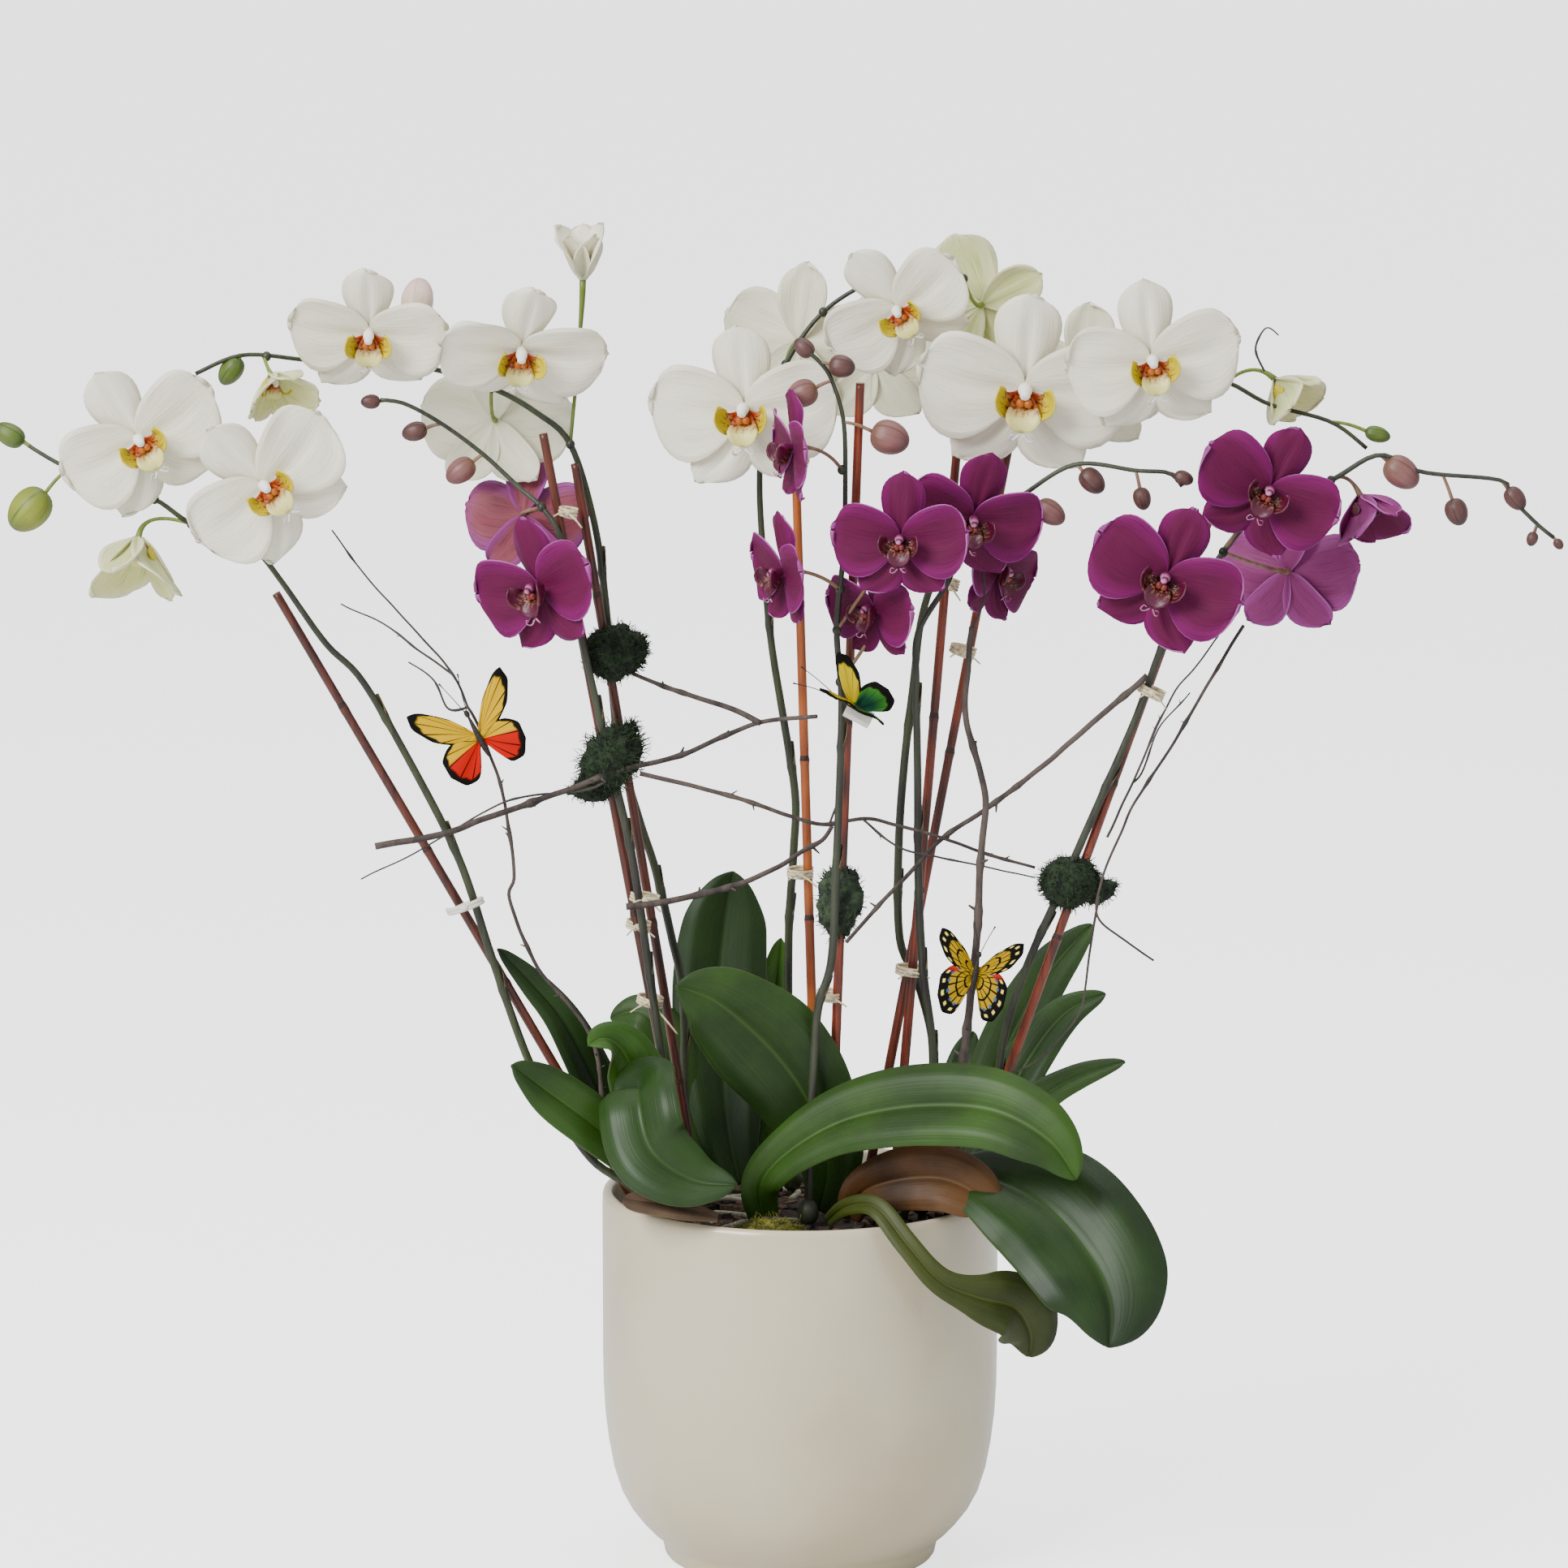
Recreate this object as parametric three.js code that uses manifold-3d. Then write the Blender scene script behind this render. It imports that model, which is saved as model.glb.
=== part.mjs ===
// A potted arrangement of moth orchids: white and purple flower spikes tied to bamboo stakes,
// broad leaves, twigs with moss tufts and three paper butterflies, in a round ceramic pot.
// Millimetres, +Z up. The origin is the centre of the pot's underside, and the show side faces -Y.

import * as THREE from "three";
import { mergeVertices } from "three/addons/utils/BufferGeometryUtils.js";
import Module from "manifold-3d";

const wasm = await Module();
wasm.setup();

// ---------------------------------------------------------------- driving dimensions

const POT_HEIGHT = 234;
const POT_RADIUS = 123;
const POT_WALL = 7;
const POT_FLOOR = 10;
const FOOT_RADIUS = 84;
const FOOT_HEIGHT = 10;
const ROUND_SIDES = 24;

const GAP = 0.35; // clearance kept between touching pieces
const MIX_EDGE = 217; // height of the potting mix at the wall
const MIX_CROWN = 221; // height of the potting mix in the middle
const ROOT_DEPTH = 190; // height that the stems and stakes reach down to inside the mix

const SPIKE_RADIUS = 2.4;
const PEDICEL_RADIUS = 1.1;
const STAKE_RADIUS = 3.1;
const TWIG_RADIUS = 2;
const FINE_TWIG_RADIUS = 0.8;
const CROWN_RADIUS = 6; // the short stem that a plant's leaves and spike rise from
const CROWN_HEIGHT = 16;

const TEPAL_THICKNESS = 1.6;
const LEAF_THICKNESS = 2.2;
const WING_THICKNESS = 0.9;
const NECK_LENGTH = 7; // the stub behind a bloom, which its pedicel meets
const PEDICEL_SWING = 20; // how far behind a bloom its pedicel turns in

// ---------------------------------------------------------------- materials

const finish = (color, roughness, metalness = 0) =>
  new THREE.MeshStandardMaterial({ color, roughness, metalness });

const FINISH = {
  glaze: () => finish(0xc8c0af, 0.28),
  mix: () => finish(0x3a2c1e, 0.95),
  moss: () => finish(0x243a1c, 1),
  rimMoss: () => finish(0x7b7a22, 1),
  leaf: () => finish(0x1f4d16, 0.32),
  oliveLeaf: () => finish(0x47501a, 0.42),
  copperLeaf: () => finish(0x7a4a1e, 0.5),
  dryLeaf: () => finish(0x6b5340, 0.8),
  spike: () => finish(0x2f3622, 0.55),
  whiteTepal: () => finish(0xf2efe4, 0.55),
  purpleTepal: () => finish(0x7d0a66, 0.6),
  bamboo: () => finish(0x6e2a16, 0.4),
  paleBamboo: () => finish(0xa05a26, 0.4),
  bark: () => finish(0x4a3c36, 0.85),
  wing: () => finish(0xe6bf1c, 0.6),
};

// ---------------------------------------------------------------- solids

const vector = ([x, y, z]) => new THREE.Vector3(x, y, z);

// A closed geometry as a manifold-3d solid.
function solidOf(geometry) {
  geometry.deleteAttribute("normal");
  geometry.deleteAttribute("uv");
  const merged = mergeVertices(geometry, 1e-4);
  return new wasm.Manifold(
    new wasm.Mesh({
      numProp: 3,
      vertProperties: new Float32Array(merged.attributes.position.array),
      triVerts: new Uint32Array(merged.index.array),
    }),
  );
}

const join = (solids) => solids.reduce((sum, next) => sum.add(next));

// Cuts the cutters away and keeps the largest body that is left.
function carve(solid, cutters) {
  const left = cutters.reduce((rest, cutter) => rest.subtract(cutter), solid);
  return left.decompose().sort((a, b) => b.volume() - a.volume())[0];
}

function geometryOf(solid) {
  const mesh = solid.getMesh();
  const points = new Float32Array(mesh.numVert * 3);
  for (let i = 0; i < mesh.numVert; i++) {
    points.set(mesh.vertProperties.subarray(i * mesh.numProp, i * mesh.numProp + 3), i * 3);
  }
  return new THREE.BufferGeometry()
    .setAttribute("position", new THREE.BufferAttribute(points, 3))
    .setIndex(new THREE.BufferAttribute(mesh.triVerts, 1));
}

const plant = new THREE.Group();

function addNode(name, solid, material) {
  const mesh = new THREE.Mesh(geometryOf(solid), material);
  mesh.name = name;
  plant.add(mesh);
  return mesh;
}

function smoothPath(points) {
  const list = points.map(vector);
  if (list.length === 2) return new THREE.LineCurve3(...list);
  return new THREE.CatmullRomCurve3(list, false, "centripetal");
}

// A round bar along a path, with closed ends.
function rod(path, radius, steps, sides = 6) {
  const section = new THREE.Shape().absarc(0, 0, radius, 0, 2 * Math.PI);
  const options = { steps, curveSegments: sides / 2, bevelEnabled: false, extrudePath: path };
  return solidOf(new THREE.ExtrudeGeometry(section, options));
}

const stemOf = (points, radius, sides = 6) =>
  rod(smoothPath(points), radius, points.length === 2 ? 1 : Math.ceil(1.15 * points.length), sides);

const lathe = (profile, sides = ROUND_SIDES) =>
  solidOf(new THREE.LatheGeometry(profile.map(([r, z]) => new THREE.Vector2(r, z)),
    sides).rotateX(Math.PI / 2));

// An egg with its long axis along a direction: a bud, a crown or a moss tuft.
function egg(at, radius, length = radius, along = [0, 0, 1]) {
  const shape = new THREE.SphereGeometry(1, 6, 4).scale(radius, length, radius);
  const turn = new THREE.Quaternion().setFromUnitVectors(new THREE.Vector3(0, 1, 0),
    vector(along).normalize());
  return solidOf(shape.applyQuaternion(turn).translate(...at));
}

// A thin curved plate along a spine: `widths` are its full widths at equal steps from base to tip,
// `face` is the side its upper surface looks to, which turns to `faceEnd` on the way, and `fold`
// lifts the two edges.
function blade({ spine, widths, face, faceEnd = face, thickness, fold = 0, grow = 0, across = 1 }) {
  const path = smoothPath(spine);
  const steps = widths.length - 1;
  const box = new THREE.BoxGeometry(1, 1, 1, across, steps, 1);
  const place = box.getAttribute("position");
  const first = vector(face).normalize();
  const last = vector(faceEnd).normalize();
  for (let i = 0; i < place.count; i++) {
    const along = place.getY(i) + 0.5;
    const up = first.clone().lerp(last, THREE.MathUtils.smoothstep(along, 0.15, 0.65));
    const outward = 2 * place.getX(i);
    const through = 2 * place.getZ(i);
    const tangent = path.getTangentAt(along);
    const side = new THREE.Vector3().crossVectors(tangent, up).normalize();
    const normal = new THREE.Vector3().crossVectors(side, tangent);
    const half = widths[Math.round(along * steps)] / 2 + grow;
    const lift = fold * Math.abs(outward) * half + through * (thickness / 2 + grow);
    const point = path.getPointAt(along);
    point.addScaledVector(side, outward * half);
    point.addScaledVector(normal, lift);
    point.addScaledVector(tangent, (2 * along - 1) * grow);
    place.setXYZ(i, point.x, point.y, point.z);
  }
  return box;
}

// ---------------------------------------------------------------- blooms

// The turn that points a bloom's front (+Z of its own frame): yaw swings it from -Y towards +X,
// pitch lifts it, and roll turns it about its own axis.
function facing({ yaw = 0, pitch = 0, roll = 0 }) {
  const turn = (x, y, z, degrees) =>
    new THREE.Quaternion().setFromAxisAngle(new THREE.Vector3(x, y, z), THREE.MathUtils.degToRad(degrees));
  return turn(0, 0, 1, yaw).multiply(turn(1, 0, 0, 90 - pitch)).multiply(turn(0, 0, 1, roll));
}

// The outline of a bloom's right half, from its topmost point down: the angle round its axis in
// degrees and the distance from it as a share of the bloom's width. The upper sepal, the broad
// petal and the lower sepal are divided by notches.
const HALF_OUTLINE = [
  [90, 0.49], [77, 0.45], [61, 0.26], [48, 0.4], [28, 0.5], [2, 0.52],
  [-17, 0.42], [-25, 0.26], [-38, 0.43], [-52, 0.48], [-68, 0.38], [-90, 0.12],
];
const SPREAD_FLAT = 92; // degrees between the bloom's axis and its tepals, when fully open

// The tepals as one thin lobed sheet. `spread` is their opening angle.
function tepalSheet(width, spread) {
  const mirrored = HALF_OUTLINE.slice(1, -1).map(([angle, share]) => [180 - angle, share]).reverse();
  const outline = [...HALF_OUTLINE, ...mirrored].map(([angle, share]) => {
    const round = THREE.MathUtils.degToRad(angle);
    return new THREE.Vector2(Math.cos(round), Math.sin(round)).multiplyScalar(share * width);
  });
  const options = { depth: TEPAL_THICKNESS, bevelEnabled: false };
  const sheet = new THREE.ExtrudeGeometry(new THREE.Shape(outline), options);
  const place = sheet.getAttribute("position");
  const lean = THREE.MathUtils.degToRad(spread);
  for (let i = 0; i < place.count; i++) {
    const reach = Math.hypot(place.getX(i), place.getY(i));
    place.setX(i, place.getX(i) * Math.sin(lean));
    place.setY(i, place.getY(i) * Math.sin(lean));
    place.setZ(i, place.getZ(i) + reach * Math.cos(lean));
  }
  return sheet;
}

// The pieces of a bloom in its own frame, as closed geometries.
function bloomPieces({ width, spread = SPREAD_FLAT }) {
  const lipSpine = [
    [0, 0, 0.4],
    [0, -0.07 * width, 0.12 * width],
    [0, -0.18 * width, 0.14 * width],
  ];
  const lipWidths = [0.1, 0.16, 0.07].map((share) => share * width);
  return [
    tepalSheet(width, spread),
    blade({ spine: lipSpine, widths: lipWidths, face: [0, 1, 1], thickness: 2 * TEPAL_THICKNESS }),
  ];
}

const bloomNeck = () => rod(smoothPath([[0, 0, -NECK_LENGTH], [0, 0, 1]]), 1.5 * PEDICEL_RADIUS, 1, 4);

function addBloom(name, material, bloom) {
  const solid = join([...bloomPieces(bloom).map(solidOf), bloomNeck()]);
  const mesh = addNode(name, solid, material);
  mesh.position.set(...bloom.at);
  mesh.quaternion.copy(facing(bloom));
}

// A bloom that stays one with its spike.
const fixedBloom = (bloom) => {
  const turn = facing(bloom);
  const placed = bloomPieces(bloom).map((piece) => piece.applyQuaternion(turn).translate(...bloom.at));
  return join(placed.map(solidOf));
};

// A pedicel from a point of the spike to the back of a bloom, which it enters along the bloom's axis.
function pedicel(from, bloom, reach = 0) {
  const front = new THREE.Vector3(0, 0, 1).applyQuaternion(facing(bloom));
  const end = vector(bloom.at).addScaledVector(front, reach);
  const turn = vector(bloom.at).addScaledVector(front, -PEDICEL_SWING);
  return rod(new THREE.QuadraticBezierCurve3(vector(from), turn, end), PEDICEL_RADIUS, 3, 4);
}

const shortOfNeck = -(NECK_LENGTH + GAP);

function bud({ from, at, radius, length = 1.3 * radius }) {
  const along = vector(at).sub(vector(from)).toArray();
  return join([egg(at, radius, length, along), rod(smoothPath([from, at]), PEDICEL_RADIUS, 1, 4)]);
}

// ---------------------------------------------------------------- flower spikes

const SPIKES = {
  spike_white_left: {
    crown: [-94, -30],
    stem: [
      [-86, -34, ROOT_DEPTH], [-94, -30, 222], [-106, -26, 240], [-128, -25, 256], [-148, -27, 285],
      [-167, -31, 320], [-189, -38, 386], [-208, -42, 447], [-235, -46, 504], [-266, -50, 560],
      [-288, -54, 584], [-313, -58, 621], [-328, -60, 641], [-344, -60, 652], [-368, -60, 658],
      [-390, -60, 673], [-415, -58, 680], [-442, -56, 691], [-464, -52, 703], [-476, -48, 712],
    ],
    blooms: [
      { name: "bloom_white_1", from: [-390, -60, 673], at: [-398, -72, 711], yaw: 10, pitch: -5,
        roll: 32, width: 98 },
      { name: "bloom_white_2", from: [-328, -60, 641], at: [-322, -86, 685], yaw: 12, pitch: -5,
        roll: 44, width: 100 },
    ],
    fixed: [
      { from: [-368, -60, 658], at: [-400, -64, 649], yaw: -10, pitch: -62, roll: 10, width: 84,
        spread: 38 },
    ],
    buds: [
      { from: [-442, -56, 691], at: [-466, -58, 666], radius: 12, length: 15 },
      { from: [-464, -52, 703], at: [-478, -50, 711], radius: 7, length: 10 },
    ],
  },
  spike_white_centre_left: {
    crown: [-70, 36],
    stem: [
      [-70, 36, ROOT_DEPTH], [-72, 35, 260], [-73, 34, 346], [-80, 30, 386], [-90, 27, 430], [-99, 24, 459],
      [-111, 21, 503], [-116, 19, 544], [-120, 18, 600], [-127, 17, 650], [-141, 14, 697], [-161, 14, 716],
      [-189, 12, 732], [-231, 10, 745], [-271, 10, 745], [-306, 8, 750], [-341, 4, 753], [-369, 0, 742],
    ],
    blooms: [
      { name: "bloom_white_3", from: [-271, 10, 745], at: [-262, -16, 770], pitch: -28, width: 94 },
      { name: "bloom_white_4", from: [-189, 12, 732], at: [-170, -14, 759], yaw: 5, pitch: -32,
        roll: -6, width: 98 },
    ],
    fixed: [
      { from: [-189, 12, 732], at: [-187, 34, 709], yaw: 170, pitch: -10, width: 92 },
      { from: [-141, 14, 697], at: [-133, 20, 797], pitch: 80, width: 50, spread: 30 },
      { from: [-326, 6, 752], at: [-332, 0, 744], yaw: 35, pitch: -65, width: 54, spread: 32 },
    ],
    buds: [
      { from: [-341, 4, 753], at: [-348, 6, 743], radius: 7, length: 10 },
      { from: [-241, 10, 745], at: [-235, 36, 784], radius: 9, length: 13 },
    ],
  },
  spike_white_centre_right: {
    crown: [-5, 45],
    stem: [
      [-5, 45, ROOT_DEPTH], [-6, 44, 260], [-7, 42, 308], [-7, 38, 387], [-4, 35, 439], [-3, 32, 475],
      [-10, 30, 522], [-18, 28, 573], [-23, 26, 629], [-25, 24, 674], [-22, 22, 710], [-9, 24, 745],
      [14, 26, 777], [47, 26, 797], [81, 28, 802], [100, 30, 797],
    ],
    blooms: [
      { name: "bloom_white_5", from: [-22, 22, 710], at: [-34, -4, 721], yaw: -8, pitch: -5, roll: 3,
        width: 108 },
      { name: "bloom_white_6", from: [47, 26, 797], at: [59, -8, 785], pitch: -15, roll: 36, width: 102 },
    ],
    fixed: [
      { from: [-9, 24, 745], at: [0, 58, 756], yaw: 160, roll: 8, width: 96 },
      { from: [14, 26, 777], at: [46, 54, 750], yaw: 170, pitch: -15, width: 92 },
      { from: [100, 30, 797], at: [99, 50, 786], yaw: 165, pitch: 20, roll: 80, width: 92 },
    ],
    buds: [],
  },
  spike_white_right: {
    crown: [84, 28],
    stem: [
      [84, 28, ROOT_DEPTH], [84, 27, 260], [83, 26, 317], [73, 24, 359], [62, 23, 386], [61, 22, 441],
      [64, 20, 493], [70, 18, 549], [75, 16, 590], [87, 14, 625], [114, 12, 676], [130, 14, 698],
      [156, 16, 720], [201, 12, 732], [235, 6, 738], [260, 0, 737], [286, -6, 724], [323, -12, 714],
      [345, -14, 698],
    ],
    blooms: [
      { name: "bloom_white_7", from: [130, 14, 698], at: [136, -18, 736], pitch: -12, roll: -5,
        width: 110 },
      { name: "bloom_white_8", from: [201, 12, 732], at: [212, -38, 755], yaw: 5, pitch: -8, roll: 8,
        width: 100 },
    ],
    fixed: [
      { from: [156, 16, 720], at: [179, 40, 734], yaw: 175, width: 94 },
      { from: [260, 0, 737], at: [291, 6, 737], yaw: 60, pitch: -40, width: 56, spread: 34 },
    ],
    buds: [
      { from: [323, -12, 714], at: [352, -10, 706], radius: 5, length: 8 },
    ],
  },
  spike_purple_left: {
    crown: [-73, -19],
    stem: [
      [-72, -20, ROOT_DEPTH], [-75, -17, 260], [-84, -15, 310], [-93, -14, 372], [-103, -15, 443],
      [-114, -16, 494], [-121, -16, 524], [-131, -16, 569], [-140, -15, 609], [-147, -13, 644],
      [-158, -8, 661], [-172, 0, 672], [-194, 4, 692], [-219, 2, 711], [-241, -4, 724], [-256, -8, 727],
    ],
    blooms: [
      { name: "bloom_purple_1", from: [-140, -15, 609], at: [-159, -48, 618], yaw: -38, pitch: -8,
        roll: 15, width: 88 },
    ],
    fixed: [
      { from: [-158, -8, 661], at: [-170, 20, 652], yaw: 165, pitch: -12, width: 76, spread: 80 },
    ],
    buds: [
      { from: [-194, 4, 692], at: [-208, 2, 682], radius: 7.5, length: 10 },
      { from: [-219, 2, 711], at: [-236, 4, 706], radius: 6, length: 8 },
      { from: [-250, -6, 726], at: [-262, -9, 726], radius: 4.5, length: 6 },
    ],
  },
  spike_purple_centre_left: {
    crown: [5, -48],
    stem: [
      [5, -48, ROOT_DEPTH], [6, -49, 260], [8, -50, 317], [11, -51, 358], [19, -52, 388], [22, -53, 448],
      [25, -53, 545], [22, -53, 592], [26, -54, 640], [27, -54, 680], [26, -54, 719], [19, -54, 744],
      [12, -54, 755], [3, -56, 763],
    ],
    blooms: [
      { name: "bloom_purple_2", from: [22, -53, 592], at: [60, -92, 653], yaw: -8, width: 80 },
    ],
    fixed: [
      { from: [25, -54, 690], at: [-5, -66, 705], yaw: -75, pitch: -5, width: 72 },
      { from: [24, -53, 617], at: [-11, -70, 630], yaw: -65, pitch: -5, width: 74 },
      { from: [24, -52, 560], at: [44, -58, 606], yaw: -50, pitch: -5, width: 70 },
    ],
    buds: [
      { from: [26, -54, 719], at: [54, -58, 710], radius: 10.5, length: 12 },
      { from: [19, -54, 744], at: [1, -52, 736], radius: 8.5, length: 9.5 },
      { from: [12, -54, 755], at: [25, -56, 753], radius: 7, length: 8 },
      { from: [12, -54, 755], at: [2, -52, 764], radius: 5.5, length: 7 },
    ],
  },
  spike_purple_centre_right: {
    crown: [75, -21],
    stem: [
      [72, -24, ROOT_DEPTH], [79, -17, 255], [82, -14, 320], [76, -14, 372], [73, -14, 422], [72, -14, 499],
      [71, -16, 554], [72, -18, 585], [89, -22, 615], [98, -24, 636], [113, -24, 653], [136, -30, 672],
      [167, -36, 691], [203, -42, 688], [223, -46, 687], [231, -48, 679],
    ],
    blooms: [
      { name: "bloom_purple_3", from: [98, -24, 636], at: [104, -56, 661], yaw: 5, pitch: -15,
        roll: -12, width: 84 },
    ],
    fixed: [
      { from: [98, -24, 636], at: [122, -8, 622], yaw: 55, pitch: -10, roll: -20, width: 72 },
    ],
    buds: [
      { from: [136, -30, 672], at: [152, -32, 661], radius: 7.5, length: 10 },
      { from: [167, -36, 691], at: [177, -38, 681], radius: 7, length: 9 },
      { from: [203, -42, 688], at: [207, -44, 671], radius: 5.5, length: 7 },
      { from: [223, -46, 687], at: [232, -47, 684], radius: 4.5, length: 6 },
    ],
  },
  spike_purple_right: {
    crown: [104, -2],
    stem: [
      [102, 0, ROOT_DEPTH], [107, -2, 240], [120, -5, 267], [125, -8, 324], [138, -12, 371],
      [157, -18, 418],
      [174, -22, 459], [205, -30, 534], [220, -36, 578], [235, -38, 600], [257, -34, 637], [279, -22, 658],
      [323, -20, 679], [352, -22, 695], [378, -26, 685], [425, -34, 681], [431, -36, 671], [447, -40, 655],
      [457, -42, 647],
    ],
    blooms: [
      { name: "bloom_purple_4", from: [220, -36, 578], at: [220, -72, 627], yaw: -5, roll: -25, width: 94 },
      { name: "bloom_purple_5", from: [257, -34, 637], at: [283, -50, 677], roll: -28, width: 86 },
    ],
    fixed: [
      { from: [257, -34, 637], at: [301, 14, 618], yaw: 155, pitch: -5, width: 82 },
      { from: [323, -20, 679], at: [342, -14, 668], yaw: 40, pitch: -55, width: 66, spread: 42 },
    ],
    buds: [
      { from: [352, -22, 695], at: [366, -22, 684], radius: 9.5, length: 12 },
      { from: [390, -28, 684], at: [399, -30, 661], radius: 7, length: 8.5 },
      { from: [425, -34, 681], at: [434, -36, 670], radius: 6, length: 8 },
      { from: [447, -40, 655], at: [444, -41, 646], radius: 3.6, length: 4.5 },
      { from: [457, -42, 647], at: [460, -42, 643], radius: 3, length: 3.6 },
    ],
  },
};

const crownSolid = ([x, y], grow = 0) =>
  egg([x, y, MIX_CROWN + GAP + CROWN_HEIGHT / 2], CROWN_RADIUS + grow, CROWN_HEIGHT / 2 + grow);

function spikeSolid({ crown, stem, blooms, fixed, buds }) {
  return join([
    crownSolid(crown),
    stemOf(stem, SPIKE_RADIUS),
    ...blooms.map((bloom) => pedicel(bloom.from, bloom, shortOfNeck)),
    ...fixed.map((bloom) => pedicel(bloom.from, bloom)),
    ...fixed.map(fixedBloom),
    ...buds.map(bud),
  ]);
}

// The room that a spike's stem and crown take from their neighbours.
const spikeRoom = ({ crown, stem }) => join([crownSolid(crown, GAP), stemOf(stem, SPIKE_RADIUS + GAP)]);

// ---------------------------------------------------------------- bamboo stakes

const STAKES = {
  stake_1: { ends: [[-82, -8, ROOT_DEPTH], [-318, -50, 614]], finish: FINISH.bamboo },
  stake_2: { ends: [[-62, -6, ROOT_DEPTH], [-157, -6, 706]], finish: FINISH.bamboo },
  stake_3: { ends: [[-58, 19, ROOT_DEPTH], [-138, 6, 686]], finish: FINISH.bamboo },
  stake_4: { ends: [[12, 14, ROOT_DEPTH], [-3, 12, 691]], finish: FINISH.paleBamboo },
  stake_5: { ends: [[17, -24, ROOT_DEPTH], [36, -48, 742]], finish: FINISH.bamboo },
  stake_6: { ends: [[55, 3, ROOT_DEPTH], [99, 0, 737]], finish: FINISH.bamboo },
  stake_7: { ends: [[33, 2, ROOT_DEPTH], [129, 34, 696]], finish: FINISH.bamboo },
  stake_8: { ends: [[87, -11, ROOT_DEPTH], [256, -24, 676]], finish: FINISH.bamboo },
};

// ---------------------------------------------------------------- twigs

const TWIGS = {
  twig_left: [
    {
      radius: 1.4,
      points: [
        [-92, -46, ROOT_DEPTH + 10], [-101, -42, 238], [-118, -38, 266], [-128, -36, 335],
        [-161, -36, 380], [-178, -36, 422],
        [-175, -36, 437], [-179, -38, 470], [-184, -38, 497], [-197, -38, 532], [-203, -38, 543],
      ],
    },
    { radius: FINE_TWIG_RADIUS, points: [[-202, -38, 541], [-212, -38, 563], [-233, -40, 588],
      [-263, -44, 623], [-284, -46, 652]] },
    { radius: FINE_TWIG_RADIUS, points: [[-211, -38, 562], [-233, -36, 577], [-251, -34, 591],
      [-280, -32, 605]] },
    { radius: FINE_TWIG_RADIUS, points: [[-202, -38, 542], [-215, -36, 541], [-224, -34, 558],
      [-239, -32, 569]] },
  ],
  twig_cross: [
    {
      radius: TWIG_RADIUS,
      points: [
        [-259, -60, 460], [-229, -58, 465], [-211, -56, 469], [-181, -48, 479], [-142, -36, 491],
        [-112, -30, 501], [-74, -24, 510], [-43, -20, 523], [-22, -24, 531], [10, -42, 537],
      ],
    },
    { radius: 0.9 * TWIG_RADIUS, points: [[-24, -24, 530], [-46, -16, 539], [-82, -6, 549],
      [-104, 2, 557]] },
    { radius: FINE_TWIG_RADIUS, points: [[-112, -30, 501], [-125, -32, 492], [-145, -36, 489],
      [-180, -40, 484], [-232, -50, 456], [-268, -52, 438]] },
  ],
  twig_low: [
    {
      radius: 0.7 * TWIG_RADIUS,
      points: [
        [-98, -34, 500], [-74, -34, 495], [-36, -32, 484], [-6, -28, 473], [16, -24, 467], [40, -16, 469],
        [60, -32, 468], [85, -34, 461], [112, -26, 450], [144, -20, 439],
      ],
    },
    { radius: FINE_TWIG_RADIUS, points: [[38, -17, 469], [60, -34, 455], [85, -38, 449],
      [112, -34, 443], [144, -26, 434]] },
  ],
  twig_tie: [
    {
      radius: TWIG_RADIUS,
      points: [[-107, -26, 416], [-82, -24, 419], [-43, -18, 427], [-18, -12, 436], [2, -2, 447],
        [14, 2, 453], [20, 4, 461]],
    },
  ],
  twig_diagonal: [
    {
      radius: 0.9 * TWIG_RADIUS,
      points: [[211, -40, 562], [164, -34, 519], [132, -30, 491], [115, -28, 478], [87, -28, 459],
        [56, -42, 428], [28, -62, 401]],
    },
  ],
  twig_upright: [
    {
      radius: 1.35 * TWIG_RADIUS,
      points: [
        [88, -44, ROOT_DEPTH + 10], [95, -40, 260], [101, -40, 330], [107, -40, 387], [109, -44, 414],
        [110, -46, 446], [113, -46, 482], [110, -46, 503], [105, -44, 519], [100, -42, 542],
        [102, -40, 566],
        [104, -40, 592],
      ],
    },
  ],
  twig_right: [
    {
      radius: 0.5 * TWIG_RADIUS,
      points: [
        [269, -46, 594], [252, -44, 564], [225, -40, 516], [205, -38, 484], [193, -34, 456],
        [184, -32, 432],
        [182, -32, 412], [195, -32, 399], [217, -34, 384],
      ],
    },
    { radius: FINE_TWIG_RADIUS, points: [[183, -32, 424], [178, -30, 390], [172, -26, 350],
      [150, -22, 322], [134, -24, 312]] },
  ],
};

const twigSolid = (branches, grow = 0) =>
  join(branches.map(({ radius, points }) => stemOf(points, radius + grow,
    radius > FINE_TWIG_RADIUS ? 6 : 4)));

// ---------------------------------------------------------------- leaves

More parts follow.
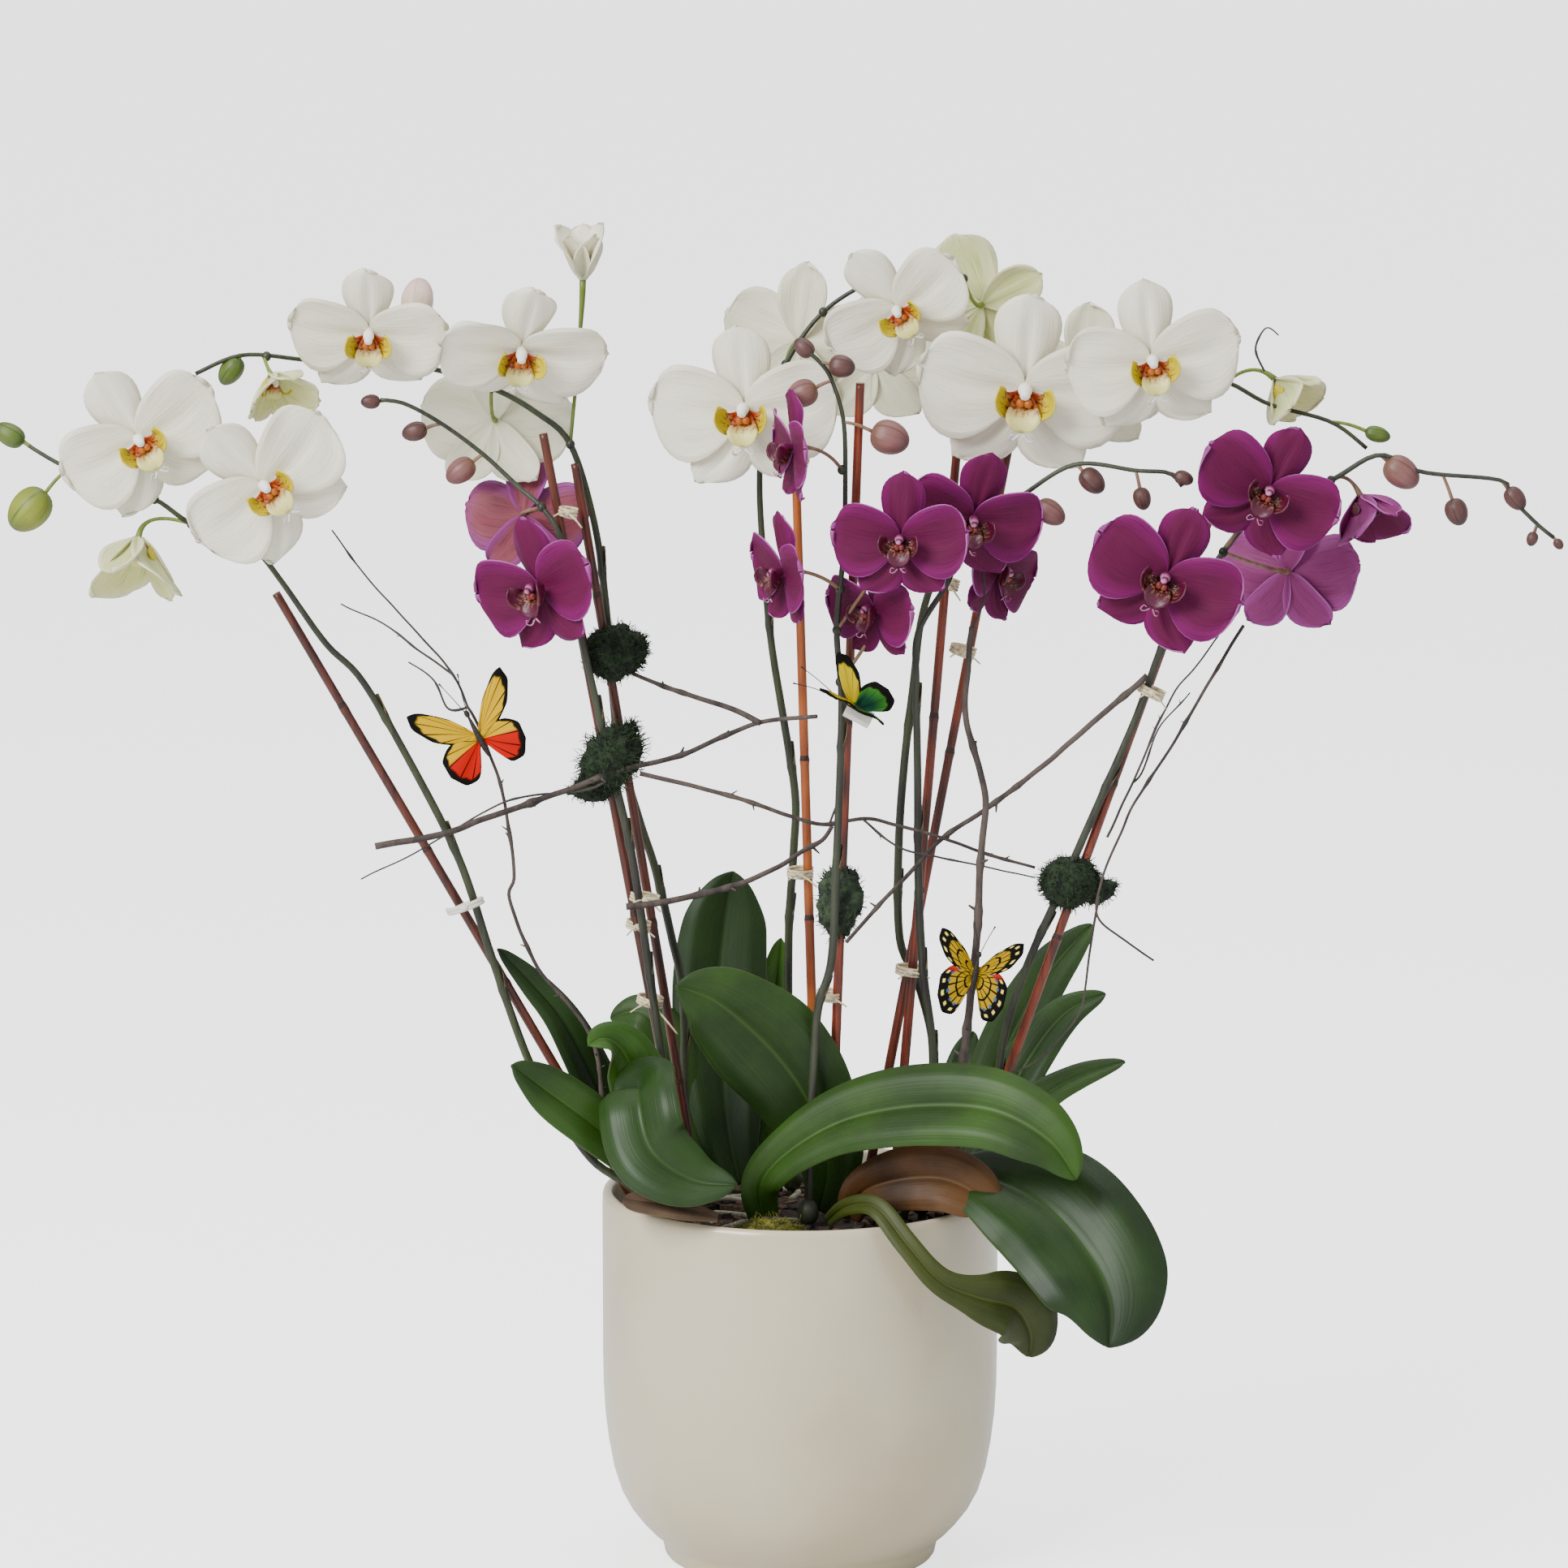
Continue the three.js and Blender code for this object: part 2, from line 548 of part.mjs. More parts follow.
// Each leaf's spine from its base to its tip, its full widths at equal steps along it, the side that
// its upper surface faces, and how far its edges lift.
const LEAVES = {
  leaf_back_tall: {
    spine: [
      [-38, 48, 224], [-46, 58, 262], [-49, 74, 308],
      [-50, 86, 352], [-47, 92, 388], [-42, 94, 416],
    ],
    widths: [22, 40, 54, 60, 60, 54, 30],
    face: [0, -1, 0.15],
  },
  leaf_centre_broad: {
    spine: [[12, -28, 224], [18, -32, 250], [15, -36, 274], [-2, -38, 307], [-27, -44, 338],
      [-53, -52, 363], [-76, -58, 373]],
    widths: [22, 42, 58, 68, 70, 54, 12],
    face: [-0.3, -1, 0.25],
    fold: 0.1,
  },
  leaf_front_bright: {
    spine: [
      [-22, -52, 226], [-24, -62, 250], [-6, -68, 272], [28, -78, 294],
      [72, -96, 307], [116, -116, 308], [150, -132, 292], [166, -140, 270],
    ],
    widths: [20, 30, 40, 50, 54, 54, 46, 20],
    face: [0, -0.8, 0.7],
    faceEnd: [0, -1, 0.55],
  },
  leaf_front_right: {
    spine: [
      [58, -38, 225], [78, -50, 246], [112, -72, 256], [148, -104, 246],
      [175, -132, 220], [187, -148, 194], [186, -156, 170],
    ],
    widths: [26, 44, 64, 82, 88, 76, 32],
    face: [0.3, -0.5, 1],
    faceEnd: [0.2, -1, 0.3],
  },
  leaf_rim_twisted: {
    spine: [
      [16, -76, 229], [28, -94, 243], [46, -112, 247], [64, -128, 228], [84, -137, 207],
      [108, -136, 196], [130, -128, 188], [140, -121, 170], [139, -117, 154],
    ],
    widths: [8, 12, 14, 15, 16, 22, 40, 46, 20],
    face: [0.1, -1, 0.5],
    finish: FINISH.oliveLeaf,
  },
  leaf_underside: {
    spine: [
      [30, -56, 226], [38, -68, 246], [60, -80, 257],
      [86, -88, 259], [108, -94, 250], [122, -97, 238],
    ],
    widths: [16, 28, 38, 42, 38, 14],
    face: [0.2, -1, 0.3],
    finish: FINISH.copperLeaf,
  },
  leaf_left_front: {
    spine: [[-74, -40, 224], [-90, -52, 280], [-98, -72, 312], [-99, -92, 306], [-90, -106, 280],
      [-64, -112, 264], [-38, -116, 262]],
    widths: [22, 34, 46, 52, 54, 44, 10],
    face: [-0.4, -0.7, 0.6],
  },
  leaf_left_light: {
    spine: [[-84, 4, 224], [-92, -12, 280], [-106, -38, 322], [-118, -50, 338], [-130, -58, 336]],
    widths: [18, 32, 42, 38, 10],
    face: [-0.2, -0.8, 0.8],
  },
  leaf_left_back: {
    spine: [[-64, 52, 224], [-76, 60, 280], [-86, 64, 314], [-100, 70, 330], [-120, 76, 325]],
    widths: [18, 30, 38, 34, 8],
    face: [0.2, -0.8, 0.7],
  },
  leaf_left_slim: {
    spine: [[-90, 12, 224], [-112, 4, 262], [-126, -8, 300], [-146, -16, 342], [-166, -22, 368],
      [-186, -26, 390]],
    widths: [16, 26, 32, 30, 22, 6],
    face: [0.6, -0.8, 0.3],
    finish: FINISH.oliveLeaf,
  },
  leaf_left_low: {
    spine: [[-76, -46, 224], [-90, -54, 252], [-126, -68, 288], [-156, -72, 312], [-176, -78, 328]],
    widths: [16, 28, 36, 36, 14],
    face: [0.4, -0.8, 0.5],
    finish: FINISH.oliveLeaf,
  },
  leaf_dry: {
    spine: [[-50, -110, 240], [-68, -112, 245], [-88, -104, 248], [-108, -86, 247]],
    widths: [8, 20, 22, 6],
    face: [-0.3, -0.6, 1],
    finish: FINISH.dryLeaf,
  },
  leaf_right_tall: {
    spine: [[92, 34, 224], [108, 46, 258], [134, 76, 314], [158, 102, 350], [186, 122, 377]],
    widths: [18, 32, 40, 34, 8],
    face: [-0.3, -0.8, 0.5],
  },
  leaf_right_middle: {
    spine: [[98, 14, 224], [112, 18, 254], [142, 32, 306], [166, 48, 334], [192, 58, 345]],
    widths: [16, 28, 34, 30, 6],
    face: [-0.2, -0.7, 0.8],
  },
  leaf_right_low: {
    spine: [[92, -28, 224], [110, -24, 252], [144, -10, 288], [172, -2, 304], [202, 4, 313]],
    widths: [14, 24, 28, 22, 5],
    face: [0, -0.7, 1],
  },
};

const leafSolid = ({ spine, widths, face, faceEnd, fold = 0.2 }, grow = 0) =>
  solidOf(blade({ spine, widths, face, faceEnd, thickness: LEAF_THICKNESS, fold, grow, across: 2 }));

// ---------------------------------------------------------------- moss tufts

const TUFTS = {
  moss_tuft_upper: { at: [-114, 6, 569], radius: 19, length: 21, along: [1, 0, 0.1] },
  moss_tuft_middle: { at: [-116, -16, 507], radius: 18, length: 24, along: [0.7, 0, 1] },
  moss_tuft_right: { at: [168, -14, 428], radius: 17, length: 20, along: [1, 0, 0] },
};

// ---------------------------------------------------------------- butterflies

// Half wings in shares of the span, root first; x runs outwards and y towards the head.
const FORE_WING = [[0.02, 0.02], [0.2, 0.26], [0.42, 0.42], [0.5, 0.36], [0.4, 0.14], [0.2, 0]];
const HIND_WING = [[0.02, 0.04], [0.3, 0.02], [0.4, -0.12], [0.34, -0.3], [0.18, -0.34], [0.05, -0.12]];

const BUTTERFLIES = {
  butterfly_left: { at: [-196, -46, 526], yaw: -6, pitch: 10, roll: 29, span: 72, lift: 18 },
  butterfly_centre: { at: [32, -64, 546], yaw: 20, pitch: 35, roll: 55, span: 60, lift: 58 },
  butterfly_right: { at: [107, -54, 378], yaw: 0, pitch: 12, roll: -11, span: 58, lift: 16 },
};

// Two pairs of thin wings, tilted up by `lift` degrees, on a slim body.
function butterflySolid({ at, span, lift, ...turned }) {
  const sheet = (outline, side) => {
    const shape = new THREE.Shape(outline.map(([x, y]) => new THREE.Vector2(side * x * span, y * span)));
    return new THREE.ExtrudeGeometry(shape, { depth: WING_THICKNESS, bevelEnabled: false })
      .rotateY(THREE.MathUtils.degToRad(-side * lift));
  };
  const body = new THREE.SphereGeometry(1, 6, 5).scale(0.04 * span, 0.2 * span, 0.04 * span);
  const pieces = [sheet(FORE_WING, 1), sheet(FORE_WING, -1), sheet(HIND_WING, 1), sheet(HIND_WING, -1),
    body];
  return join(pieces.map((piece) => solidOf(piece.applyQuaternion(facing(turned)).translate(...at))));
}

// ---------------------------------------------------------------- the pot and what fills it

const potProfile = [
  [0, 0], [FOOT_RADIUS, 0], [FOOT_RADIUS + 2, FOOT_HEIGHT], [FOOT_RADIUS + 10, 18], [100, 24], [112, 43],
  [119.5, 74], [POT_RADIUS, 110], [POT_RADIUS, POT_HEIGHT - 3], [POT_RADIUS - 2, POT_HEIGHT],
  [POT_RADIUS - POT_WALL + 2, POT_HEIGHT], [POT_RADIUS - POT_WALL, POT_HEIGHT - 3],
  [POT_RADIUS - POT_WALL, 110], [112, 76], [104, 47], [88, 28], [66, POT_FLOOR + 6], [0, POT_FLOOR],
];

const mixProfile = [
  [0, POT_FLOOR + GAP], [65.7, POT_FLOOR + 6 + GAP], [87.6, 28.4], [103.5, 47], [111.5, 76],
  [POT_RADIUS - POT_WALL - GAP, 110], [POT_RADIUS - POT_WALL - GAP, MIX_EDGE], [0, MIX_CROWN],
];

// ---------------------------------------------------------------- assembly

const spikes = Object.entries(SPIKES);
const stakes = Object.entries(STAKES);
const twigs = Object.entries(TWIGS);
const leaves = Object.entries(LEAVES);

const spikeRooms = spikes.map(([, spike]) => spikeRoom(spike));
const stakeRooms = stakes.map(([, { ends }]) => stemOf(ends, STAKE_RADIUS + GAP));
const twigRooms = twigs.map(([, branches]) => twigSolid(branches, GAP));
const leafRooms = leaves.map(([, leaf]) => leafSolid(leaf, 2 * GAP));

addNode("pot", lathe(potProfile), FINISH.glaze());
addNode(
  "potting_mix",
  carve(lathe(mixProfile), [...spikeRooms, ...stakeRooms, ...twigRooms]),
  FINISH.mix(),
);
addNode(
  "rim_moss",
  carve(egg([-19, -100, 229], 9, 20, [1, 0, 0]), [lathe(mixProfile), ...leafRooms]),
  FINISH.rimMoss(),
);

for (const [index, [name, spike]] of spikes.entries()) {
  const others = spikeRooms.filter((_, i) => i < index);
  addNode(name, carve(spikeSolid(spike), [...stakeRooms, ...others]), FINISH.spike());
  const material = name.includes("white") ? FINISH.whiteTepal : FINISH.purpleTepal;
  for (const bloom of spike.blooms) addBloom(bloom.name, material(), bloom);
}

for (const [name, { ends, finish: material }] of stakes) {
  addNode(name, stemOf(ends, STAKE_RADIUS), material());
}

for (const [index, [name, branches]] of twigs.entries()) {
  const others = twigRooms.filter((_, i) => i < index);
  addNode(name, carve(twigSolid(branches), [...spikeRooms, ...stakeRooms, ...others]), FINISH.bark());
}

for (const [index, [name, leaf]] of leaves.entries()) {
  const others = leafRooms.filter((_, i) => i < index);
  const cutters = [...spikeRooms, ...stakeRooms, ...twigRooms, ...others];
  addNode(name, carve(leafSolid(leaf), cutters), (leaf.finish ?? FINISH.leaf)());
}

for (const [name, { at, radius, length, along }] of Object.entries(TUFTS)) {
  const cutters = [...spikeRooms, ...stakeRooms, ...twigRooms];
  addNode(name, carve(egg(at, radius, length, along), cutters), FINISH.moss());
}

for (const [name, butterfly] of Object.entries(BUTTERFLIES)) {
  addNode(name, carve(butterflySolid(butterfly), [...twigRooms, ...stakeRooms, ...spikeRooms]),
    FINISH.wing());
}

export default plant;
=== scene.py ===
"""The looks of a potted moth orchid arrangement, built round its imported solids.

Sizes in the tables are millimetres in the solids' own frame: +Z up, the show side faces -Y.
"""

import logging
import math
import random
from collections.abc import Callable, Sequence
from dataclasses import dataclass, field, replace
from enum import Enum

import bmesh
import bpy
from mathutils import Matrix, Quaternion, Vector, noise


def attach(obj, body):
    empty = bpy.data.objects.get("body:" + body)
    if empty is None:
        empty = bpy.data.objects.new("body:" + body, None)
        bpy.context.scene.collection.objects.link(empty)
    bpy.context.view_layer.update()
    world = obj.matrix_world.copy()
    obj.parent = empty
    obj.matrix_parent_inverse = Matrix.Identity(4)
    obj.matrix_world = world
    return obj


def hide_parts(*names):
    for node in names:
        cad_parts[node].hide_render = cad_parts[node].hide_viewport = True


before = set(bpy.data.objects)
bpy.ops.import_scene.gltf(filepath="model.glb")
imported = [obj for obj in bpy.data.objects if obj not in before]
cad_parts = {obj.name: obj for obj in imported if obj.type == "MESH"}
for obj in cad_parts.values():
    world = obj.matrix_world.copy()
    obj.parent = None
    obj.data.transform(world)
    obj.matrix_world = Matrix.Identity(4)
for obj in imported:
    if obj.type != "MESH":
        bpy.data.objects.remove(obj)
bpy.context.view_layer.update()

log = logging.getLogger("potted_orchid")

MM = 0.001
ROOT = "root"
NOISE_SEED = 7
WELD_GAP = 1e-4
MERGE_GAP = 1e-3
TAU = 2.0 * math.pi
UV_NAME = "UVMap"

Point = tuple[float, float, float]
Colour = tuple[float, float, float, float]
Material = bpy.types.Material
Socket = bpy.types.NodeSocket


# ------------------------------------------------------------------------------ small maths


def tint(code: str) -> Colour:
    """A linear colour from its six-digit display code.

    Args:
        code: Red, green and blue as six hexadecimal digits.

    Returns:
        The linear colour with full alpha.
    """
    parts = [int(code[i : i + 2], 16) / 255 for i in (0, 2, 4)]
    linear = [c / 12.92 if c < 0.04045 else ((c + 0.055) / 1.055) ** 2.4 for c in parts]
    return (*linear, 1.0)


def ease(low: float, high: float, value: float) -> float:
    """A smooth step from 0 at low to 1 at high."""
    share = min(1.0, max(0.0, (value - low) / (high - low)))
    return share * share * (3 - 2 * share)


def between(values: Sequence[float], share: float) -> float:
    """A smooth reading of evenly spaced values.

    Args:
        values: The values from share 0 to share 1.
        share: Where to read them.

    Returns:
        The value there, on a smooth curve through its neighbours.
    """
    last = len(values) - 1
    place = min(max(share, 0.0), 1.0) * last
    index = min(int(place), last - 1)
    near = [values[min(max(index + k, 0), last)] for k in (-1, 0, 1, 2)]
    return _cubic(*near, place - index)


def _cubic(a: float, b: float, c: float, d: float, t: float) -> float:
    """One span of a curve through b and c."""
    return b + 0.5 * t * (c - a + t * (2 * a - 5 * b + 4 * c - d + t * (3 * (b - c) + d - a)))


class Route:
    """A smooth curve through points, read by its share of length."""

    SPAN_STEPS = 10

    def __init__(self, points: Sequence[Point]) -> None:
        """Samples the curve.

        Args:
            points: The points that it passes through, in order.
        """
        spans = (len(points) - 1) * self.SPAN_STEPS
        shares = [i / spans for i in range(spans + 1)]
        columns = [[p[k] for p in points] for k in range(3)]
        self.samples = [Vector([between(column, s) for column in columns]) for s in shares]
        self.lengths = [0.0]
        for a, b in zip(self.samples, self.samples[1:]):
            self.lengths.append(self.lengths[-1] + (b - a).length)
        self.length = self.lengths[-1]

    def point(self, share: float) -> Vector:
        """The point at a share of the length."""
        target = min(max(share, 0.0), 1.0) * self.length
        low, high = 0, len(self.lengths) - 1
        while high - low > 1:
            middle = (low + high) // 2
            low, high = (middle, high) if self.lengths[middle] <= target else (low, middle)
        span = max(self.lengths[high] - self.lengths[low], 1e-9)
        return self.samples[low].lerp(self.samples[high], (target - self.lengths[low]) / span)

    def tangent(self, share: float) -> Vector:
        """The direction of travel at a share of the length."""
        return (self.point(share + 0.01) - self.point(share - 0.01)).normalized()


# ------------------------------------------------------------------------------ materials


class Weave:
    """A material's node tree, wired by short calls."""

    def __init__(self, name: str, roughness: float, **settings: float) -> None:
        """Starts a principled material.

        Args:
            name: The material's name.
            roughness: Its roughness where nothing is linked.
            **settings: Other shader sockets by name, with _ for a space.
        """
        self.material = bpy.data.materials.new(name)
        self.material.use_nodes = True
        self.tree = self.material.node_tree
        self.shader = self.tree.nodes["Principled BSDF"]
        self.shader.inputs["Roughness"].default_value = roughness
        for key, value in settings.items():
            self.shader.inputs[key.replace("_", " ")].default_value = value

    def node(self, kind: str, **fields: object) -> bpy.types.Node:
        """A new node with its fields set."""
        made = self.tree.nodes.new(kind)
        for key, value in fields.items():
            setattr(made, key, value)
        return made

    def put(self, socket: Socket, value: object) -> None:
        """Links a socket to another, or sets its value."""
        if isinstance(value, bpy.types.NodeSocket):
            self.tree.links.new(value, socket)
        else:
            socket.default_value = value

    def math(self, operation: str, a: object, b: object = 0.0, c: object = 0.0) -> Socket:
        """The result of one sum on numbers or sockets.

        Args:
            operation: The name of the operation.
            a: The first value.
            b: The second value.
            c: The third value, for a multiply and add.

        Returns:
            The result's socket.
        """
        made = self.node("ShaderNodeMath", operation=operation)
        for socket, value in zip(made.inputs, (a, b, c)):
            self.put(socket, value)
        return made.outputs[0]

    def times(self, a: object, b: object) -> Socket:
        """The product of two numbers or sockets."""
        return self.math("MULTIPLY", a, b)

    def fold(self, value: Socket) -> Socket:
        """A coordinate from 0 to 1 folded at its middle, so 1 at both ends and 0 between."""
        return self.math("ABSOLUTE", self.math("MULTIPLY_ADD", value, 2.0, -1.0))

    def teeth(self, value: Socket, count: float) -> Socket:
        """A coordinate folded in each of its equal parts."""
        return self.fold(self.math("FRACT", self.times(value, count)))

    def near(self, value: Socket, middle: float, outer: float, inner: float) -> Socket:
        """A band that is 1 near a value's middle and 0 away from it."""
        gap = self.math("ABSOLUTE", self.math("SUBTRACT", value, middle))
        return self.window(gap, outer, inner)

    def surface(self) -> tuple[Socket, Socket]:
        """The piece's own surface coordinates: across and along."""
        uv = self.node("ShaderNodeUVMap", uv_map=UV_NAME)
        split = self.node("ShaderNodeSeparateXYZ")
        self.put(split.inputs[0], uv.outputs[0])
        return split.outputs[0], split.outputs[1]

    def place(self) -> Socket:
        """The object coordinates, in metres."""
        return self.node("ShaderNodeTexCoord").outputs["Object"]

    def stretched(self, across: Socket, along: Socket, scale: Point) -> Socket:
        """A vector of surface coordinates, scaled.

        Args:
            across: The coordinate across.
            along: The coordinate along.
            scale: Factors for across and along, and the value of the third part.

        Returns:
            The vector's socket.
        """
        made = self.node("ShaderNodeCombineXYZ")
        self.put(made.inputs[0], self.math("MULTIPLY", across, scale[0]))
        self.put(made.inputs[1], self.math("MULTIPLY", along, scale[1]))
        made.inputs[2].default_value = scale[2]
        return made.outputs[0]

    def cloud(self, vector: Socket, scale: float, detail: float = 3.0, rough: float = 0.5) -> Socket:
        """A noise pattern.

        Args:
            vector: Where it is read.
            scale: Its scale.
            detail: Its octaves.
            rough: How strong the fine octaves are.

        Returns:
            The pattern's socket, from 0 to 1.
        """
        made = self.node("ShaderNodeTexNoise")
        self.put(made.inputs["Vector"], vector)
        made.inputs["Scale"].default_value = scale
        made.inputs["Detail"].default_value = detail
        made.inputs["Roughness"].default_value = rough
        return made.outputs[0]

    def ramp(self, factor: Socket, *stops: tuple[float, str]) -> Socket:
        """A colour that changes along a factor.

        Args:
            factor: The number that picks the colour.
            *stops: Positions with their colours, in order.

        Returns:
            The colour's socket.
        """
        made = self.node("ShaderNodeValToRGB")
        marks = made.color_ramp.elements
        while len(marks) < len(stops):
            marks.new(0.5)
        for mark, (position, code) in zip(marks, stops):
            mark.position = position
            mark.color = tint(code)
        self.put(made.inputs[0], factor)
        return made.outputs[0]

    def window(self, value: Socket, low: float, high: float) -> Socket:
        """A smooth step from 0 at low to 1 at high."""
        made = self.node("ShaderNodeMapRange", interpolation_type="SMOOTHSTEP")
        self.put(made.inputs["Value"], value)
        made.inputs["From Min"].default_value = low
        made.inputs["From Max"].default_value = high
        return made.outputs[0]

    def mix(self, factor: object, a: object, b: object, blend: str = "MIX") -> Socket:
        """One colour over another.

        Args:
            factor: How much of the second colour shows.
            a: The first colour.
            b: The second colour.
            blend: How they meet.

        Returns:
            The colour's socket.
        """
        made = self.node("ShaderNodeMix", data_type="RGBA", blend_type=blend)
        self.put(made.inputs[0], factor)
        for socket, value in ((made.inputs[6], a), (made.inputs[7], b)):
            self.put(socket, tint(value) if isinstance(value, str) else value)
        return made.outputs[2]

    def finish(self, colour: object, height: Socket | None = None, depth: float = 0.0005) -> Material:
        """Ends the material.

        Args:
            colour: The base colour, a socket or a code.
            height: A pattern for its bumps, if it has any.
            depth: How deep they are, in metres.

        Returns:
            The material.
        """
        self.put(self.shader.inputs["Base Color"], tint(colour) if isinstance(colour, str) else colour)
        if height is not None:
            bump = self.node("ShaderNodeBump")
            bump.inputs["Distance"].default_value = depth
            self.put(bump.inputs["Height"], height)
            self.put(self.shader.inputs["Normal"], bump.outputs[0])
        return self.material


def flesh(weight: float) -> dict[str, float]:
    """The shader settings of soft plant tissue that lets some light in."""
    return {"Subsurface_Weight": weight, "Subsurface_Scale": 0.002}


@dataclass(frozen=True)
class Tepal:
    """A petal or sepal skin: colours from throat to margin, with fine veins along it."""

    name: str
    throat: str
    body: str
    edge: str
    vein: str
    margin: str | None = None
    roughness: float = 0.5
    veins: float = 0.35
    glow: float = 0.12

    def make(self) -> Material:
        """Builds the material."""
        weave = Weave(self.name, self.roughness, **flesh(self.glow), Specular_IOR_Level=0.25)
        across, along = weave.surface()
        side = weave.fold(across)
        stops = ((0.0, self.throat), (0.22, self.body), (0.7, self.body), (1.0, self.edge))
        colour = weave.ramp(along, *stops)
        colour = weave.mix(weave.window(side, 0.45, 1.0), colour, self.edge)
        fibres = weave.cloud(weave.stretched(across, along, (38.0, 3.0, 0.0)), 1.0, 2.0)
        lines = weave.window(fibres, 0.52, 0.72)
        colour = weave.mix(weave.times(lines, self.veins), colour, self.vein)
        blotch = weave.cloud(weave.place(), 55.0, 2.0)
        colour = weave.mix(weave.times(blotch, 0.16), colour, self.vein)
        if self.margin:
            rim = weave.math("MAXIMUM", weave.window(side, 0.965, 0.995), weave.window(along, 0.98, 0.998))
            rim = weave.times(rim, weave.window(along, 0.12, 0.3))
            colour = weave.mix(rim, colour, self.margin)
        return weave.finish(colour, fibres, 0.0004)


@dataclass(frozen=True)
class Lip:
    """A lip's skin: a strong base, a paler end, and spots and stripes of a third colour."""

    name: str
    base: str
    end: str
    spot: str
    turn: float = 0.45
    spots: float = 0.9

    def make(self) -> Material:
        """Builds the material."""
        weave = Weave(self.name, 0.42, **flesh(0.1))
        across, along = weave.surface()
        colour = weave.ramp(
            along, (0.0, self.base), (self.turn, self.base), (min(self.turn + 0.35, 1.0), self.end)
        )
        dots = weave.cloud(weave.stretched(across, along, (9.0, 9.0, 2.0)), 1.0, 1.0)
        marks = weave.times(weave.window(dots, 0.52, 0.6), weave.window(along, 0.75, 0.3))
        colour = weave.mix(weave.times(marks, self.spots), colour, self.spot)
        return weave.finish(colour, dots, 0.0003)


@dataclass(frozen=True)
class Foliage:
    """A leaf face: long parallel veins, a paler midrib and a waxy gloss."""

    name: str
    body: str
    shade: str
    rib: str
    roughness: float = 0.47
    coat: float = 0.04

    def make(self) -> Material:
        """Builds the material."""
        shine = {"Coat_Weight": self.coat, "Coat_Roughness": 0.25, "Specular_IOR_Level": 0.3}
        weave = Weave(self.name, self.roughness, **shine)
        across, along = weave.surface()
        side = weave.fold(across)
        patches = weave.cloud(weave.place(), 16.0, 4.0)
        colour = weave.mix(weave.window(patches, 0.35, 0.68), self.body, self.shade)
        fibres = weave.cloud(weave.stretched(across, along, (46.0, 2.2, 0.0)), 1.0, 3.0)
        colour = weave.mix(weave.times(weave.window(fibres, 0.5, 0.75), 0.14), colour, self.rib)
        colour = weave.mix(weave.times(weave.window(side, 0.05, 0.0), 0.4), colour, self.rib)
        colour = weave.mix(weave.times(weave.window(side, 0.96, 1.0), 0.4), colour, self.rib)
        gloss = weave.math("MULTIPLY_ADD", patches, 0.22, self.roughness - 0.1)
        weave.put(weave.shader.inputs["Roughness"], gloss)
        return weave.finish(colour, fibres, 0.00025)


@dataclass(frozen=True)
class Bark:
    """A stem, stake or twig skin: streaks along it and darker patches."""

    name: str
    light: str
    dark: str
    roughness: float = 0.5
    streak: Point = (260.0, 260.0, 22.0)
    depth: float = 0.0005

    def make(self) -> Material:
        """Builds the material."""
        weave = Weave(self.name, self.roughness)
        mapping = weave.node("ShaderNodeMapping")
        weave.put(mapping.inputs["Vector"], weave.place())
        mapping.inputs["Scale"].default_value = self.streak
        streaks = weave.cloud(mapping.outputs[0], 1.0, 4.0, 0.6)
        patches = weave.cloud(weave.place(), 20.0, 2.0)
        both = weave.math("MULTIPLY_ADD", patches, 0.6, weave.times(streaks, 0.5))
        colour = weave.mix(weave.window(both, 0.4, 0.68), self.dark, self.light)
        return weave.finish(colour, streaks, self.depth)


@dataclass(frozen=True)
class Blush:
    """A bud's skin: one colour at the stalk, another at the tip, and seams between its sepals."""

    name: str
    stalk: str
    tip: str
    seam: str

    def make(self) -> Material:
        """Builds the material."""
        weave = Weave(self.name, 0.48, **flesh(0.1))
        across, along = weave.surface()
        colour = weave.ramp(along, (0.1, self.stalk), (0.55, self.tip), (1.0, self.seam))
        fibres = weave.cloud(weave.stretched(across, along, (30.0, 2.0, 0.0)), 1.0, 3.0)
        colour = weave.mix(weave.times(weave.window(fibres, 0.45, 0.75), 0.45), colour, self.seam)
        wave = weave.math("SINE", weave.times(across, 6.0 * math.pi))
        seams = weave.window(wave, 0.96, 1.0)
        colour = weave.mix(weave.times(seams, 0.7), colour, self.seam)
        return weave.finish(colour, fibres, 0.0003)


@dataclass(frozen=True)
class Matte:
    """A dry, mottled surface of two colours, such as moss, bark chips or raffia."""

    name: str
    light: str
    dark: str
    scale: float = 180.0
    roughness: float = 0.9
    depth: float = 0.001

    def make(self) -> Material:
        """Builds the material."""
        weave = Weave(self.name, self.roughness)
        grain = weave.cloud(weave.place(), self.scale, 4.0, 0.65)
        colour = weave.mix(weave.window(grain, 0.38, 0.64), self.dark, self.light)
        return weave.finish(colour, grain, self.depth)


